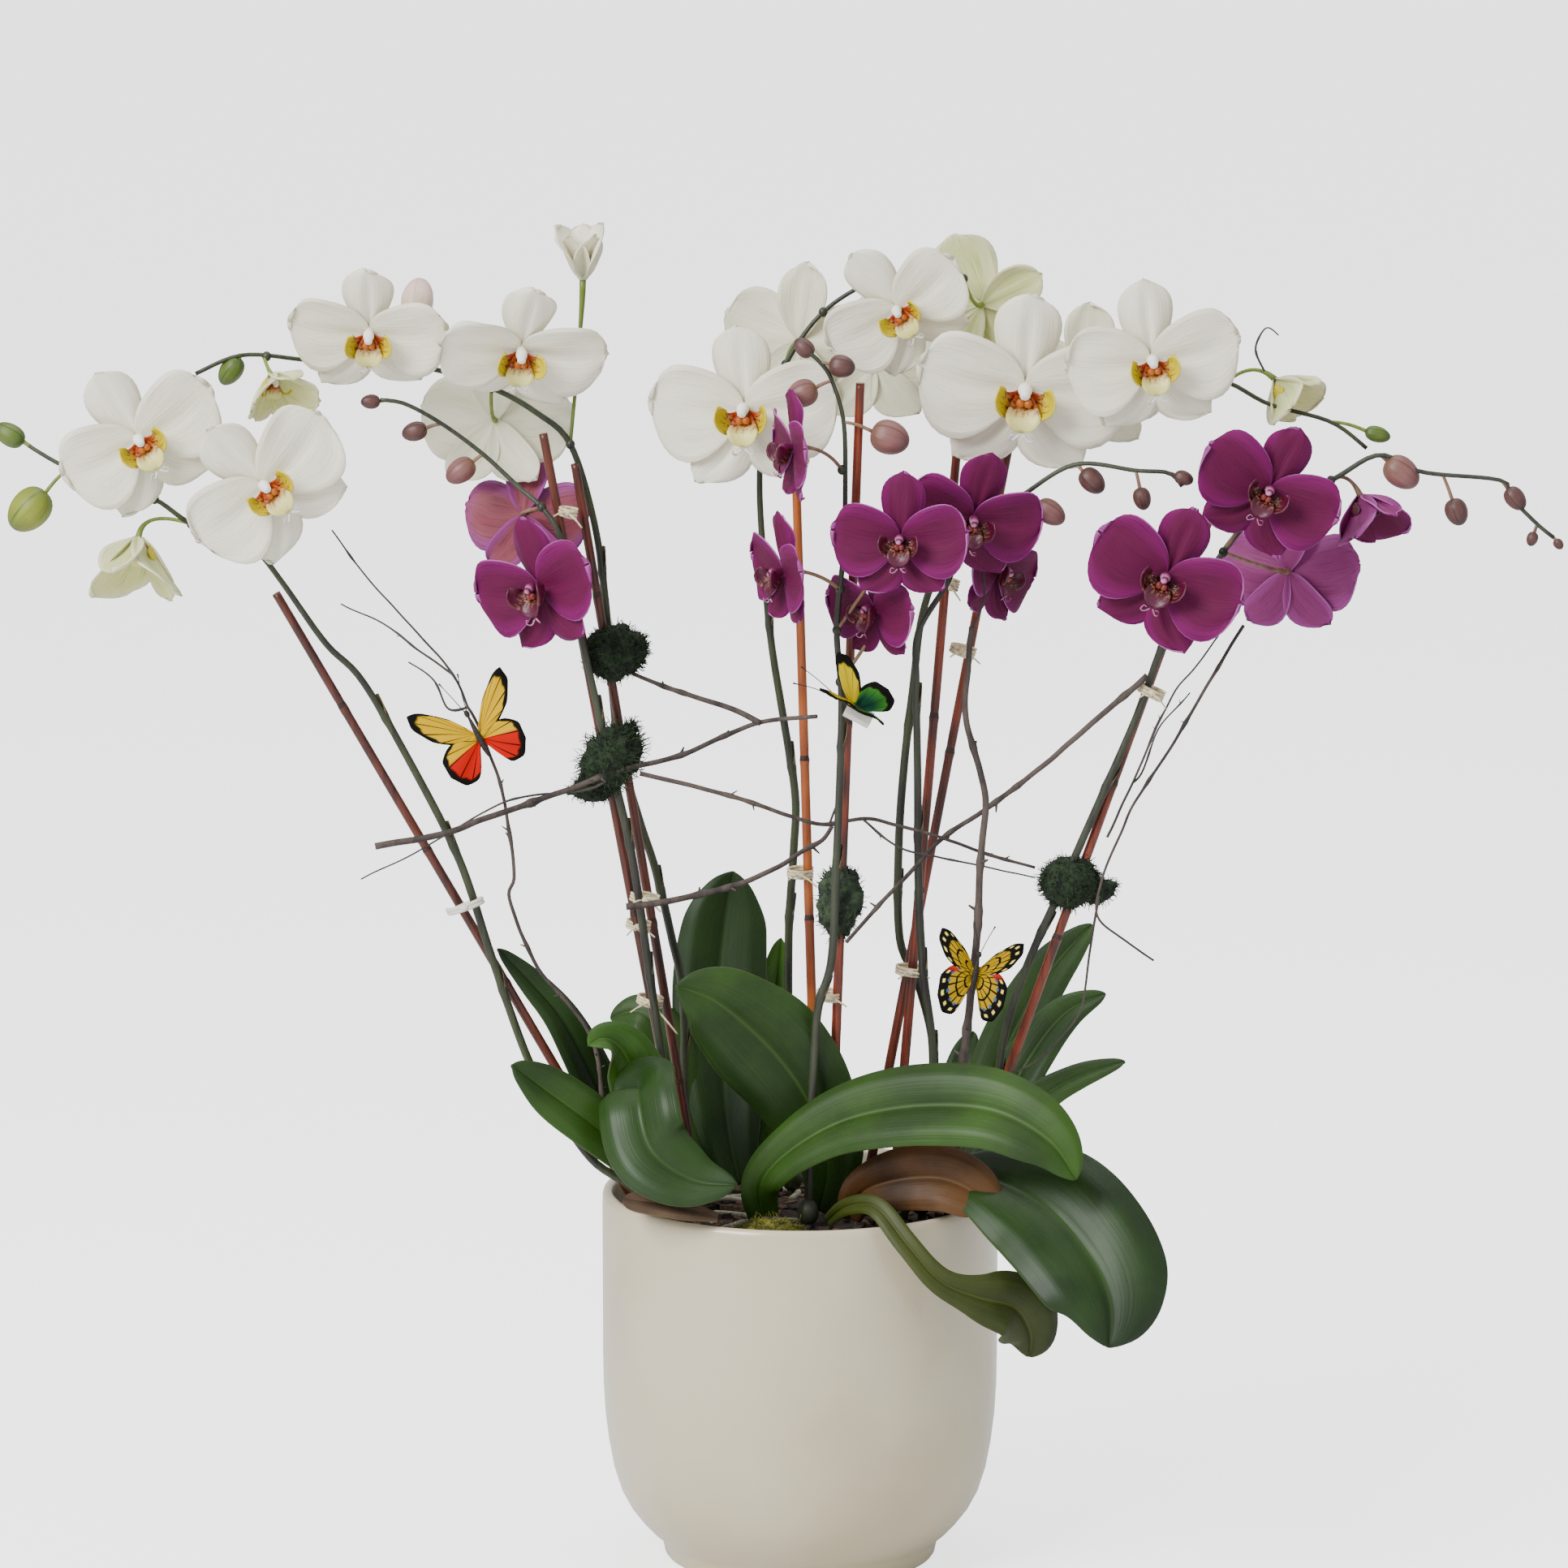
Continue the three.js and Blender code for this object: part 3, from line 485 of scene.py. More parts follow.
@dataclass(frozen=True)
class Glaze:
    """The pot's fired glaze: a creamy body with a faint cloudiness under a clear gloss."""

    name: str = "cream_glaze"
    body: str = "c9bea2"
    warm: str = "bcae8e"
    roughness: float = 0.24

    def make(self) -> Material:
        """Builds the material."""
        weave = Weave(self.name, self.roughness, Coat_Weight=0.35, Coat_Roughness=0.12)
        place = weave.place()
        clouds = weave.cloud(place, 7.0, 3.0)
        specks = weave.cloud(place, 420.0, 2.0)
        colour = weave.mix(weave.window(clouds, 0.35, 0.7), self.body, self.warm)
        colour = weave.mix(weave.times(weave.window(specks, 0.68, 0.8), 0.18), colour, "a3947a")
        ripple = weave.cloud(place, 26.0, 2.0)
        gloss = weave.math("MULTIPLY_ADD", clouds, 0.12, self.roughness - 0.05)
        weave.put(weave.shader.inputs["Roughness"], gloss)
        return weave.finish(colour, ripple, 0.0006)


class WingStyle(Enum):
    """The three colourings of the paper butterflies."""

    SUNSET = "sunset"
    MEADOW = "meadow"
    LATTICE = "lattice"


# Panel colour, number of ribs, width of the veins and where the dark rim starts, of each colouring.
WING_PRINTS = {
    WingStyle.SUNSET: ("c29a00", 7.0, 0.16, 0.84),
    WingStyle.MEADOW: ("bea600", 7.0, 0.07, 0.78),
    WingStyle.LATTICE: ("a88604", 9.0, 0.3, 0.7),
}


@dataclass(frozen=True)
class Wing:
    """A printed wing: bright panels between dark veins, a dark rim, and a coloured hind part."""

    style: WingStyle
    hind: bool

    def make(self) -> Material:
        """Builds the material."""
        part = "hind" if self.hind else "fore"
        weave = Weave(f"wing_{self.style.value}_{part}", 0.8, Specular_IOR_Level=0.1)
        across, along = weave.surface()
        panel, ribs, width, reach = WING_PRINTS[self.style]
        colour = weave.ramp(along, (0.0, panel), (1.0, panel))
        if self.hind and self.style is WingStyle.SUNSET:
            colour = weave.mix(weave.window(across, 0.38, 0.44), panel, "b00a00")
        if self.hind and self.style is WingStyle.MEADOW:
            colour = weave.ramp(along, (0.0, "0d3b33"), (0.45, "123f2a"), (0.8, "2f6d1e"))
        saw = weave.teeth(across, ribs)
        veins = weave.window(saw, 1.0 - width, 1.0 - 0.4 * width)
        wobble = weave.math("MULTIPLY_ADD", saw, -0.06, along)
        rim = weave.window(wobble, reach - 0.03, reach + 0.03)
        dark = weave.math("MAXIMUM", veins, rim)
        if self.style is WingStyle.LATTICE:
            bands = weave.window(weave.teeth(along, 4.0), 0.72, 0.85)
            dark = weave.math("MAXIMUM", dark, bands)
        colour = weave.mix(dark, colour, "0b0907")
        if self.style is WingStyle.LATTICE:
            dots = weave.times(weave.window(saw, 0.5, 0.25), weave.near(along, 0.87, 0.05, 0.02))
            colour = weave.mix(dots, colour, "f2dd6a")
            if self.hind:
                eye = weave.times(weave.window(across, 0.3, 0.18), weave.window(along, 0.62, 0.72))
                colour = weave.mix(eye, colour, "a8281a")
                blue = weave.times(weave.window(saw, 0.45, 0.2), weave.near(along, 0.72, 0.06, 0.02))
                colour = weave.mix(blue, colour, "3b5a86")
        return weave.finish(colour)


class Palette:
    """Every finish of the arrangement, made once."""

    def __init__(self) -> None:
        """Makes the materials."""
        recipes = {
            "white_tepal": Tepal("white_tepal", "dde0a4", "f2eedc", "efe9d6", "d2cdac", veins=0.38),
            "white_back": Tepal("white_tepal_back", "cdd68e", "dedcc4", "dcd8c2", "c3c69a", veins=0.45),
            "cream_tepal": Tepal("cream_tepal", "a9b84a", "dcdb9c", "e6e2c2", "9cab48", veins=0.6),
            "green_back": Tepal("green_tepal_back", "8a9a34", "ccd096", "e2dfba", "9cab50", veins=0.7),
            "purple_tepal": Tepal(
                "purple_tepal", "2c0016", "580036", "6e0054", "360020",
                margin="8c3480", roughness=0.7, veins=0.4, glow=0.0,
            ),
            "purple_back": Tepal(
                "purple_tepal_back", "743a4c", "84306a", "943e84", "5e1a40", margin="a05c96", veins=0.5
            ),
            "rose_back": Tepal("rose_tepal_back", "6f4438", "87424e", "8f3e84", "552433", veins=0.6),
            "white_lip": Lip("white_lip", "a8380a", "ccba0c", "5a100c", turn=0.18),
            "white_lip_front": Lip("white_lip_front", "a8480a", "dcd684", "5a100c", turn=0.3),
            "white_callus": Lip("white_callus", "b86c0a", "a84408", "500a08", turn=0.6),
            "purple_lip": Lip("purple_lip", "3a0414", "4c0026", "b8794a", turn=0.4, spots=0.6),
            "purple_callus": Lip("purple_callus", "8a3a20", "6a1026", "e0b070", turn=0.5),
            "white_column": Tepal("white_column", "f1efd8", "fbfaf4", "f6f0f2", "e9d9d2", veins=0.1),
            "purple_column": Tepal("purple_column", "50062e", "6a0e48", "e0a0c4", "50062e", veins=0.2),
            "white_stem": Bark("white_stem", "343c1c", "15190e", roughness=0.45),
            "purple_stem": Bark("purple_stem", "343a26", "1b1714", roughness=0.5),
            "green_pedicel": Bark("green_pedicel", "74852a", "4c5c1c", roughness=0.45),
            "rose_pedicel": Bark("rose_pedicel", "86684c", "5a382c", roughness=0.5),
            "bract": Matte("bract", "6b5a3a", "3d3524", 160.0, 0.7, 0.0003),
            "green_bud": Blush("green_bud", "60701a", "848c26", "465414"),
            "dark_green_bud": Blush("dark_green_bud", "3c5414", "56691a", "2a3c10"),
            "rose_bud": Blush("rose_bud", "6c4a38", "805250", "56302e"),
            "plum_bud": Blush("plum_bud", "4a2c24", "583430", "2c1816"),
            "blush_bud": Blush("blush_bud", "b4b07a", "dcbfb4", "c09a94"),
            "stake": Bark("red_bamboo", "84341a", "3a140a", 0.36, (220.0, 220.0, 14.0), 0.0003),
            "dark_stake": Bark("dark_bamboo", "5a2412", "260c06", 0.36, (220.0, 220.0, 14.0), 0.0003),
            "pale_stake": Bark("amber_bamboo", "a4541c", "6e300e", 0.36, (220.0, 220.0, 14.0), 0.0003),
            "stake_joint": Matte("bamboo_joint", "42190e", "1c0a06", 300.0, 0.6, 0.0003),
            "twig": Bark("grey_twig", "52453e", "251c19", 0.75, (160.0, 160.0, 60.0), 0.0008),
            "twig_fine": Bark("fine_twig", "453d38", "221c19", 0.7, (200.0, 200.0, 80.0), 0.0004),
            "leaf": Foliage("leaf_upper", "27440a", "172e06", "3c5c14"),
            "leaf_bright": Foliage("leaf_upper_bright", "2c4c08", "1a3204", "3e5e16", roughness=0.5),
            "leaf_dark": Foliage("leaf_upper_dark", "1d3808", "102404", "2c480e", roughness=0.46),
            "leaf_light": Foliage("leaf_upper_light", "3e6814", "2a4c0c", "5e8428", roughness=0.42),
            "leaf_under": Foliage("leaf_under", "36461a", "283416", "525e2a", roughness=0.5, coat=0.0),
            "leaf_olive": Foliage("leaf_olive", "363e0a", "1e2806", "525a16", roughness=0.5),
            "leaf_copper": Foliage("leaf_copper", "573818", "2c1a0a", "78552c", roughness=0.55, coat=0.0),
            "leaf_dry": Foliage("leaf_dry", "5c4834", "3a2b1e", "7c6648", roughness=0.75, coat=0.0),
            "moss": Matte("dark_moss", "22341a", "0a1208", 260.0, 1.0),
            "moss_fibre": Matte("moss_fibre", "2a3e20", "0e1a0c", 120.0, 1.0, 0.0002),
            "grey_moss": Matte("grey_moss", "39482f", "18221a", 160.0, 1.0, 0.0004),
            "rim_moss": Matte("yellow_moss", "6f6c1c", "34360e", 220.0, 1.0),
            "chips": Matte("bark_chips", "5e4632", "2a1d13", 140.0, 0.92),
            "soil": Matte("potting_mix", "33261a", "160f0a", 90.0, 0.97, 0.003),
            "roots": Bark("aerial_root", "a39e8c", "6e6a54", 0.7),
            "glaze": Glaze(),
            "raffia": Matte("raffia", "e4dabb", "bfae86", 400.0, 0.75, 0.0002),
            "clip": Matte("white_clip", "efece2", "dcd6c6", 60.0, 0.4, 0.0001),
            "insect": Matte("butterfly_body", "2a2119", "0f0b09", 500.0, 0.8, 0.0003),
        }
        for style in WingStyle:
            recipes[f"fore_{style.value}"] = Wing(style, hind=False)
            recipes[f"hind_{style.value}"] = Wing(style, hind=True)
        self.made = {key: recipe.make() for key, recipe in recipes.items()}

    def __getitem__(self, key: str) -> Material:
        """The material of a finish."""
        return self.made[key]


# ------------------------------------------------------------------------------ pieces


def faces_of(verts: Sequence[bmesh.types.BMVert]) -> list[bmesh.types.BMFace]:
    """The faces that touch some vertices, once each."""
    return list(dict.fromkeys(face for vert in verts for face in vert.link_faces))


class Piece:
    """One visible piece while it is being shaped, in millimetres."""

    def __init__(self, name: str, palette: Palette, *finishes: str) -> None:
        """Starts an empty piece.

        Args:
            name: The piece's name.
            palette: Where its finishes come from.
            *finishes: The finishes that its faces use, in order.
        """
        self.name = name
        self.palette = palette
        self.finishes = list(finishes)
        self.bm = bmesh.new()
        self.bm.loops.layers.uv.new(UV_NAME)

    def sheet(
        self,
        columns: int,
        rows: int,
        place: Callable[[float, float], Vector],
        front: int = 0,
        back: int | None = None,
        thickness: float = 0.0,
    ) -> list[bmesh.types.BMVert]:
        """Adds a curved sheet, with a wall behind it if it has a thickness.

        Args:
            columns: Its faces across.
            rows: Its faces along.
            place: Gives a point from across (-1 to 1) and along (0 to 1).
            front: The finish of its front.
            back: The finish of its back and rim, or None for the same.
            thickness: How thick it is.

        Returns:
            The new vertices.
        """
        made = bmesh.ops.create_grid(self.bm, x_segments=columns, y_segments=rows, size=1.0, calc_uvs=True)
        verts = made["verts"]
        faces = faces_of(verts)
        for vert in verts:
            vert.co = place(vert.co.x, 0.5 + 0.5 * vert.co.y)
        for face in faces:
            face.material_index = front
            face.smooth = True
        if thickness <= 0.0:
            return verts
        for face in faces:
            face.normal_update()
        for vert in verts:
            vert.normal_update()
        shift = {tuple(vert.co): vert.normal * thickness for vert in verts}
        wall = bmesh.ops.extrude_face_region(self.bm, geom=faces, use_keep_orig=True)["geom"]
        behind = [part for part in wall if isinstance(part, bmesh.types.BMVert)]
        for vert in behind:
            vert.co -= shift[tuple(vert.co)]
        every = faces_of(verts + behind)
        fronts = set(faces)
        for face in every:
            face.smooth = True
            if face not in fronts:
                face.material_index = front if back is None else back
        bmesh.ops.recalc_face_normals(self.bm, faces=every)
        return verts + behind

    def weld(self, verts: Sequence[bmesh.types.BMVert]) -> list[bmesh.types.BMVert]:
        """Closes a rolled sheet along its seam and at its ends.

        Args:
            verts: The sheet's vertices.

        Returns:
            The vertices that are left.
        """
        before = set(self.bm.verts) - set(verts)
        bmesh.ops.remove_doubles(self.bm, verts=verts, dist=WELD_GAP)
        made = [vert for vert in self.bm.verts if vert not in before]
        bmesh.ops.recalc_face_normals(self.bm, faces=faces_of(made))
        return made

    def tube(
        self,
        points: Sequence[Point],
        radius: Callable[[float], float],
        sides: int = 8,
        rows: int = 24,
        finish: int = 0,
        wobble: float = 0.0,
    ) -> list[bmesh.types.BMVert]:
        """Adds a closed round bar along a route.

        Args:
            points: The route.
            radius: Gives the radius from the share of its length.
            sides: Its sides.
            rows: Its steps along.
            finish: Its finish.
            wobble: How far the line strays from the route.

        Returns:
            The new vertices.
        """
        route = Route(points)
        shares = [0.0, *[i / rows for i in range(rows + 1)], 1.0]
        rings = []
        up = route.tangent(0.0).orthogonal().normalized()
        for index, share in enumerate(shares):
            ahead = route.tangent(share)
            up = (up - ahead * up.dot(ahead)).normalized()
            centre = route.point(share)
            if wobble:
                centre = centre + wobble * noise.noise_vector(centre * 0.05)
            size = 0.0 if index in (0, len(shares) - 1) else radius(share)
            rings.append((centre, up, ahead.cross(up), size))
        last = len(rings) - 1

        def place(across: float, along: float) -> Vector:
            """The point of the bar's skin."""
            centre, out, side, size = rings[round(along * last)]
            turn = across * math.pi
            return centre + size * (math.cos(turn) * out + math.sin(turn) * side)

        return self.weld(self.sheet(sides, last, place, front=finish))

    def egg(
        self,
        base: Vector,
        tip: Vector,
        radius: float,
        belly: float = 0.5,
        sides: int = 14,
        rows: int = 12,
        finish: int = 0,
        lobes: float = 0.0,
    ) -> list[bmesh.types.BMVert]:
        """Adds a closed egg between two ends.

        Args:
            base: Its stalk end.
            tip: Its far end.
            radius: Its largest radius.
            belly: Where along it that is.
            sides: Its sides.
            rows: Its steps along.
            finish: Its finish.
            lobes: How deep its three seams are, as a share of the radius.

        Returns:
            The new vertices.
        """
        axis = tip - base
        out = axis.orthogonal().normalized()
        side = axis.normalized().cross(out)
        power = math.log(0.5) / math.log(belly)

        def place(across: float, along: float) -> Vector:
            """The point of the egg's skin."""
            turn = across * math.pi
            share = 0.5 - 0.5 * math.cos(math.pi * along)
            swell = math.sqrt(max(0.0, 4.0 * share**power * (1.0 - share**power)))
            seam = 1.0 - lobes * max(0.0, math.cos(3.0 * turn)) ** 8
            reach = radius * swell * seam
            return base + axis * share + reach * (math.cos(turn) * out + math.sin(turn) * side)

        return self.weld(self.sheet(sides, rows, place, front=finish))

    def spun(self, profile: Sequence[tuple[float, float]], steps: int, finish: int = 0) -> None:
        """Adds a turned body.

        Args:
            profile: Its half section as radius and height, from axis to axis.
            steps: Its steps round.
            finish: Its finish.
        """
        verts = [self.bm.verts.new((r, 0.0, z)) for r, z in profile]
        edges = [self.bm.edges.new(pair) for pair in zip(verts, verts[1:])]
        bmesh.ops.spin(
            self.bm,
            geom=verts + edges,
            cent=(0.0, 0.0, 0.0),
            axis=(0.0, 0.0, 1.0),
            angle=TAU,
            steps=steps,
            use_merge=True,
        )
        bmesh.ops.remove_doubles(self.bm, verts=self.bm.verts, dist=MERGE_GAP)
        for face in self.bm.faces:
            face.smooth = True
            face.material_index = finish
        bmesh.ops.recalc_face_normals(self.bm, faces=self.bm.faces)

    def move(self, verts: Sequence[bmesh.types.BMVert], matrix: Matrix) -> None:
        """Moves vertices by a matrix."""
        bmesh.ops.transform(self.bm, matrix=matrix, verts=list(verts))

    def publish(self, slot: str, *nodes: str, rounds: int = 0, bevel: float = 0.0) -> bpy.types.Object:
        """Ends the piece: makes its object, hangs it under the root body and hides the solids that it
        stands for.

        Args:
            slot: The record's material slot; not used.
            *nodes: The solids that it stands for.
            rounds: Its levels of subdivision.
            bevel: The width of its bevelled edges.

        Returns:
            The object.
        """
        bmesh.ops.transform(self.bm, matrix=Matrix.Scale(MM, 4), verts=self.bm.verts)
        mesh = bpy.data.meshes.new(self.name)
        self.bm.to_mesh(mesh)
        self.bm.free()
        for key in self.finishes:
            mesh.materials.append(self.palette[key])
        made = bpy.data.objects.new(self.name, mesh)
        bpy.context.scene.collection.objects.link(made)
        if bevel:
            edge = made.modifiers.new("edges", "BEVEL")
            edge.width = bevel * MM
            edge.segments = 2
        if rounds:
            smooth = made.modifiers.new("rounds", "SUBSURF")
            smooth.levels = rounds
            smooth.render_levels = rounds
        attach(made, ROOT)
        if nodes:
            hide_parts(*nodes)
        log.info("%s: %d faces", self.name, len(mesh.polygons))
        return made


def facing(yaw: float, pitch: float, roll: float) -> Quaternion:
    """The turn of a bloom whose front leaves -Y.

    Args:
        yaw: How far the front swings towards +X, in degrees.
        pitch: How far it lifts.
        roll: How far the bloom turns about its own axis, anticlockwise from the front.

    Returns:
        The turn, from a frame with the front along +Z and the top along +Y.
    """
    turns = (("Z", yaw), ("X", 90.0 - pitch), ("Z", roll))
    whole = Quaternion()
    for axis, angle in turns:
        whole = whole @ Matrix.Rotation(math.radians(angle), 3, axis).to_quaternion()
    return whole


def bent(a: Vector, turn: Vector, b: Vector, count: int = 5) -> list[Point]:
    """Points on a plain bend from a to b that leans towards a turning point."""
    shares = [i / (count - 1) for i in range(count)]
    return [tuple((1 - s) ** 2 * a + 2 * s * (1 - s) * turn + s * s * b) for s in shares]


# ------------------------------------------------------------------------------ blooms


class BloomKind(Enum):
    """The kinds of bloom by colour."""

    WHITE = "white"
    GREENISH = "greenish"
    PURPLE = "purple"
    ROSE = "rose"


# The finishes of a bloom: front, back, lip's sides, lip's middle, callus and column.
WHITE_LIP = ("white_lip", "white_lip_front", "white_callus", "white_column")
PURPLE_LIP = ("purple_lip", "purple_lip", "purple_callus", "purple_column")
SKINS = {
    BloomKind.WHITE: ("white_tepal", "white_back", *WHITE_LIP),
    BloomKind.GREENISH: ("cream_tepal", "green_back", *WHITE_LIP),
    BloomKind.PURPLE: ("purple_tepal", "purple_back", *PURPLE_LIP),
    BloomKind.ROSE: ("purple_tepal", "rose_back", *PURPLE_LIP),
}


@dataclass(frozen=True)
class TepalShape:
    """The outline and relief of one petal or sepal, in shares of the bloom's width."""

    angle: float
    length: float
    width: float
    rise: float
    fall: float
    lean: float = 0.0
    cup: float = 0.06
    claw: float = 0.05
    behind: float = 0.0

    @property
    def peak(self) -> float:
        """The profile's largest value, which scales it to the width."""
        top = self.rise / (self.rise + self.fall)
        return top**self.rise * (1 - top) ** self.fall

    def half(self, share: float) -> float:
        """Half the width at a share of the length."""
        if share <= 0.0 or share >= 1.0:
            return self.claw * 0.5 if share <= 0.0 else 0.02 * self.width
        swell = share**self.rise * (1 - share) ** self.fall / self.peak
        return 0.5 * max(self.claw * (1 - share) ** 2, self.width * max(swell, 0.04 * share))


DORSAL = TepalShape(90, 0.51, 0.34, 0.75, 0.5, cup=-0.07, behind=0.02)
LOWER_RIGHT = TepalShape(-50, 0.5, 0.31, 0.72, 0.55, lean=0.06, cup=-0.05, behind=0.03)
LOWER_LEFT = TepalShape(230, 0.5, 0.31, 0.72, 0.55, lean=-0.06, cup=-0.05, behind=0.03)
PETAL_RIGHT = TepalShape(8, 0.54, 0.56, 0.62, 0.42, lean=0.05, cup=0.04, claw=0.07)
PETAL_LEFT = TepalShape(172, 0.54, 0.56, 0.62, 0.42, lean=-0.05, cup=0.04, claw=0.07)

# Routes in shares of the bloom's width: a tendril of the lip, its side and middle lobes, the column.
TENDRIL = (
    (0.01, -0.205, 0.127), (0.04, -0.235, 0.13), (0.062, -0.225, 0.15),
    (0.05, -0.195, 0.165), (0.03, -0.2, 0.17),
)
SIDE_LOBE = ((0.015, -0.03, 0.03), (0.085, -0.07, 0.075), (0.13, -0.03, 0.12), (0.125, 0.045, 0.15))
MIDDLE_LOBE = ((0, -0.03, 0.03), (0, -0.09, 0.1), (0, -0.145, 0.135), (0, -0.195, 0.13))
COLUMN = ((0, 0, 0), (0, 0.012, 0.045), (0, 0.012, 0.085), (0, -0.004, 0.118))


@dataclass(frozen=True)
class Bloom:
    """One open or opening flower.

    start is where its pedicel leaves the stem, at is its middle, spread is the angle between its
    axis and its tepals, and node is the solid that it stands for.
    """

    name: str
    start: Point
    at: Point
    yaw: float = 0.0
    pitch: float = 0.0
    roll: float = 0.0
    width: float = 90.0
    spread: float = 86.0
    node: str | None = None
    kind: BloomKind | None = None
    lip: bool = True

    COLUMNS = 14
    ROWS = 15
    SWING = 20.0
    WALL = 0.9

    def turn(self) -> Quaternion:
        """The bloom's turn in the arrangement."""
        return facing(self.yaw, self.pitch, self.roll)

    def pedicel(self) -> list[Point]:
        """The route of the stalk that carries the bloom."""
        front = self.turn() @ Vector((0.0, 0.0, 1.0))
        at = Vector(self.at)
        bend = at - front * self.SWING
        return bent(Vector(self.start), bend, at - front * 0.5, 6)

    def tepal(self, piece: Piece, shape: TepalShape, dice: random.Random) -> None:
        """Adds one petal or sepal in the bloom's own frame.

        Args:
            piece: The piece that it joins.
            shape: Its outline and relief.
            dice: The source of its small differences.
        """
        length = shape.length * self.width * dice.uniform(0.97, 1.03)
        angle = math.radians(shape.angle + dice.uniform(-3.0, 3.0))
        opening = math.radians(self.spread + dice.uniform(-4.0, 4.0))
        flat = math.sin(opening)
        ahead = Vector((math.cos(angle) * flat, math.sin(angle) * flat, math.cos(opening)))
        side = Vector((math.sin(angle), -math.cos(angle), 0.0))
        face = side.cross(ahead)
        wave = dice.uniform(0.0, 6.28)
        ruffle = dice.uniform(0.012, 0.024) * self.width
        curl = dice.uniform(-0.05, 0.03)
        fold = dice.uniform(0.012, 0.03) * self.width

        def place(across: float, along: float) -> Vector:
            """The point of the tepal's face."""
            share = 0.5 - 0.5 * math.cos(math.pi * along)
            half = shape.half(share) * self.width
            out = across * half
            reach = share * length * (1.0 - 0.05 * across * across * ease(0.5, 1.0, share))
            sweep = shape.lean * self.width * math.sin(math.pi * share)
            rise = shape.cup * self.width * across * across * math.sin(math.pi * min(share, 0.9))
            rise += curl * length * share * share
            ripple = math.sin(5.0 * across + 5.0 * share + wave)
            rise += ruffle * across * across * ease(0.15, 0.7, share) * ripple
            crease = ease(0.0, 0.25, share) * (1 - ease(0.55, 0.95, share))
            rise -= fold * math.exp(-((across / 0.16) ** 2)) * crease
            rise += 0.02 * self.width * math.sin(math.pi * share)
            return ahead * reach + side * (out + sweep) + face * (rise - shape.behind * self.width)

        piece.sheet(self.COLUMNS, self.ROWS, place, front=0, back=1, thickness=self.WALL)

    def blade(
        self,
        piece: Piece,
        spine: Sequence[Point],
        widths: Sequence[float],
        face: Point,
        finish: int,
        cup: float,
    ) -> None:
        """Adds one lobe of the lip.

        Args:
            piece: The piece that it joins.
            spine: Its middle line in shares of the width.
            widths: Its full widths along that line, in the same shares.
            face: The side that it looks to.
            finish: Its finish.
            cup: How far its edges lift, as a share of its half width.
        """
        route = Route([tuple(c * self.width for c in p) for p in spine])
        up = Vector(face).normalized()

        def place(across: float, along: float) -> Vector:
            """The point of the lobe's face."""
            ahead = route.tangent(along)
            side = ahead.cross(up).normalized()
            out = side.cross(ahead)
            round_end = math.sqrt(max(0.0, 1 - max(0.0, along - 0.8) ** 2 * 24))
            half = 0.5 * between(widths, along) * self.width * round_end
            return route.point(along) + side * across * half + out * cup * across * across * half

        piece.sheet(8, 10, place, front=finish, thickness=self.WALL)

    def labellum(self, piece: Piece) -> None:
        """Adds the lip, its callus and the column."""
        for hand in (-1, 1):
            lobe = [(x * hand, y, z) for x, y, z in SIDE_LOBE]
            self.blade(piece, lobe, (0.06, 0.13, 0.15, 0.07), (-0.8 * hand, 0.5, 0.6), 2, 0.25)
        self.blade(piece, MIDDLE_LOBE, (0.08, 0.13, 0.17, 0.07), (0.0, 0.6, 1.0), 3, 0.35)
        for hand in (-1, 1):
            route = [(x * hand * self.width, y * self.width, z * self.width) for x, y, z in TENDRIL]
            piece.tube(route, lambda s: (1.0 - 0.75 * s) * 0.009 * self.width, 6, 12, 5)
        for hand in (-1, 1):
            low = Vector((0.008 * hand, -0.065, 0.075)) * self.width
            high = Vector((0.026 * hand, -0.035, 0.125)) * self.width
            piece.egg(low, high, 0.022 * self.width, 0.6, 10, 7, 4)
        points = [tuple(c * self.width for c in p) for p in COLUMN]

        def swell(share: float) -> float:
            """The column's radius at a share of its length."""
            return self.width * (0.022 + 0.014 * math.sin(math.pi * min(1.0, share * 1.02) ** 1.6))

        piece.tube(points, swell, 12, 12, 5)
        cap = Vector((0.0, 0.004, 0.1)) * self.width
        piece.egg(cap, cap + Vector((0.0, -0.012, 0.036)) * self.width, 0.027 * self.width, 0.5, 12, 8, 5)

    def build(self, palette: Palette, kind: BloomKind, slot: str, seed: int) -> None:
        """Makes the bloom as one piece, and stands it in for its solid.

        Args:
            palette: The finishes.
            kind: The colour that its spike bears.
            slot: The record's material slot.
            seed: The seed of its small differences.
        """
        piece = Piece(self.name, palette, *SKINS[self.kind or kind])
        dice = random.Random(seed)
        for shape in (DORSAL, LOWER_RIGHT, LOWER_LEFT, PETAL_RIGHT, PETAL_LEFT):
            self.tepal(piece, shape, dice)
        if self.lip:
            self.labellum(piece)
        place = Matrix.Translation(self.at) @ self.turn().to_matrix().to_4x4()
        piece.move(piece.bm.verts, place)
        piece.publish(slot, *([self.node] if self.node else []))


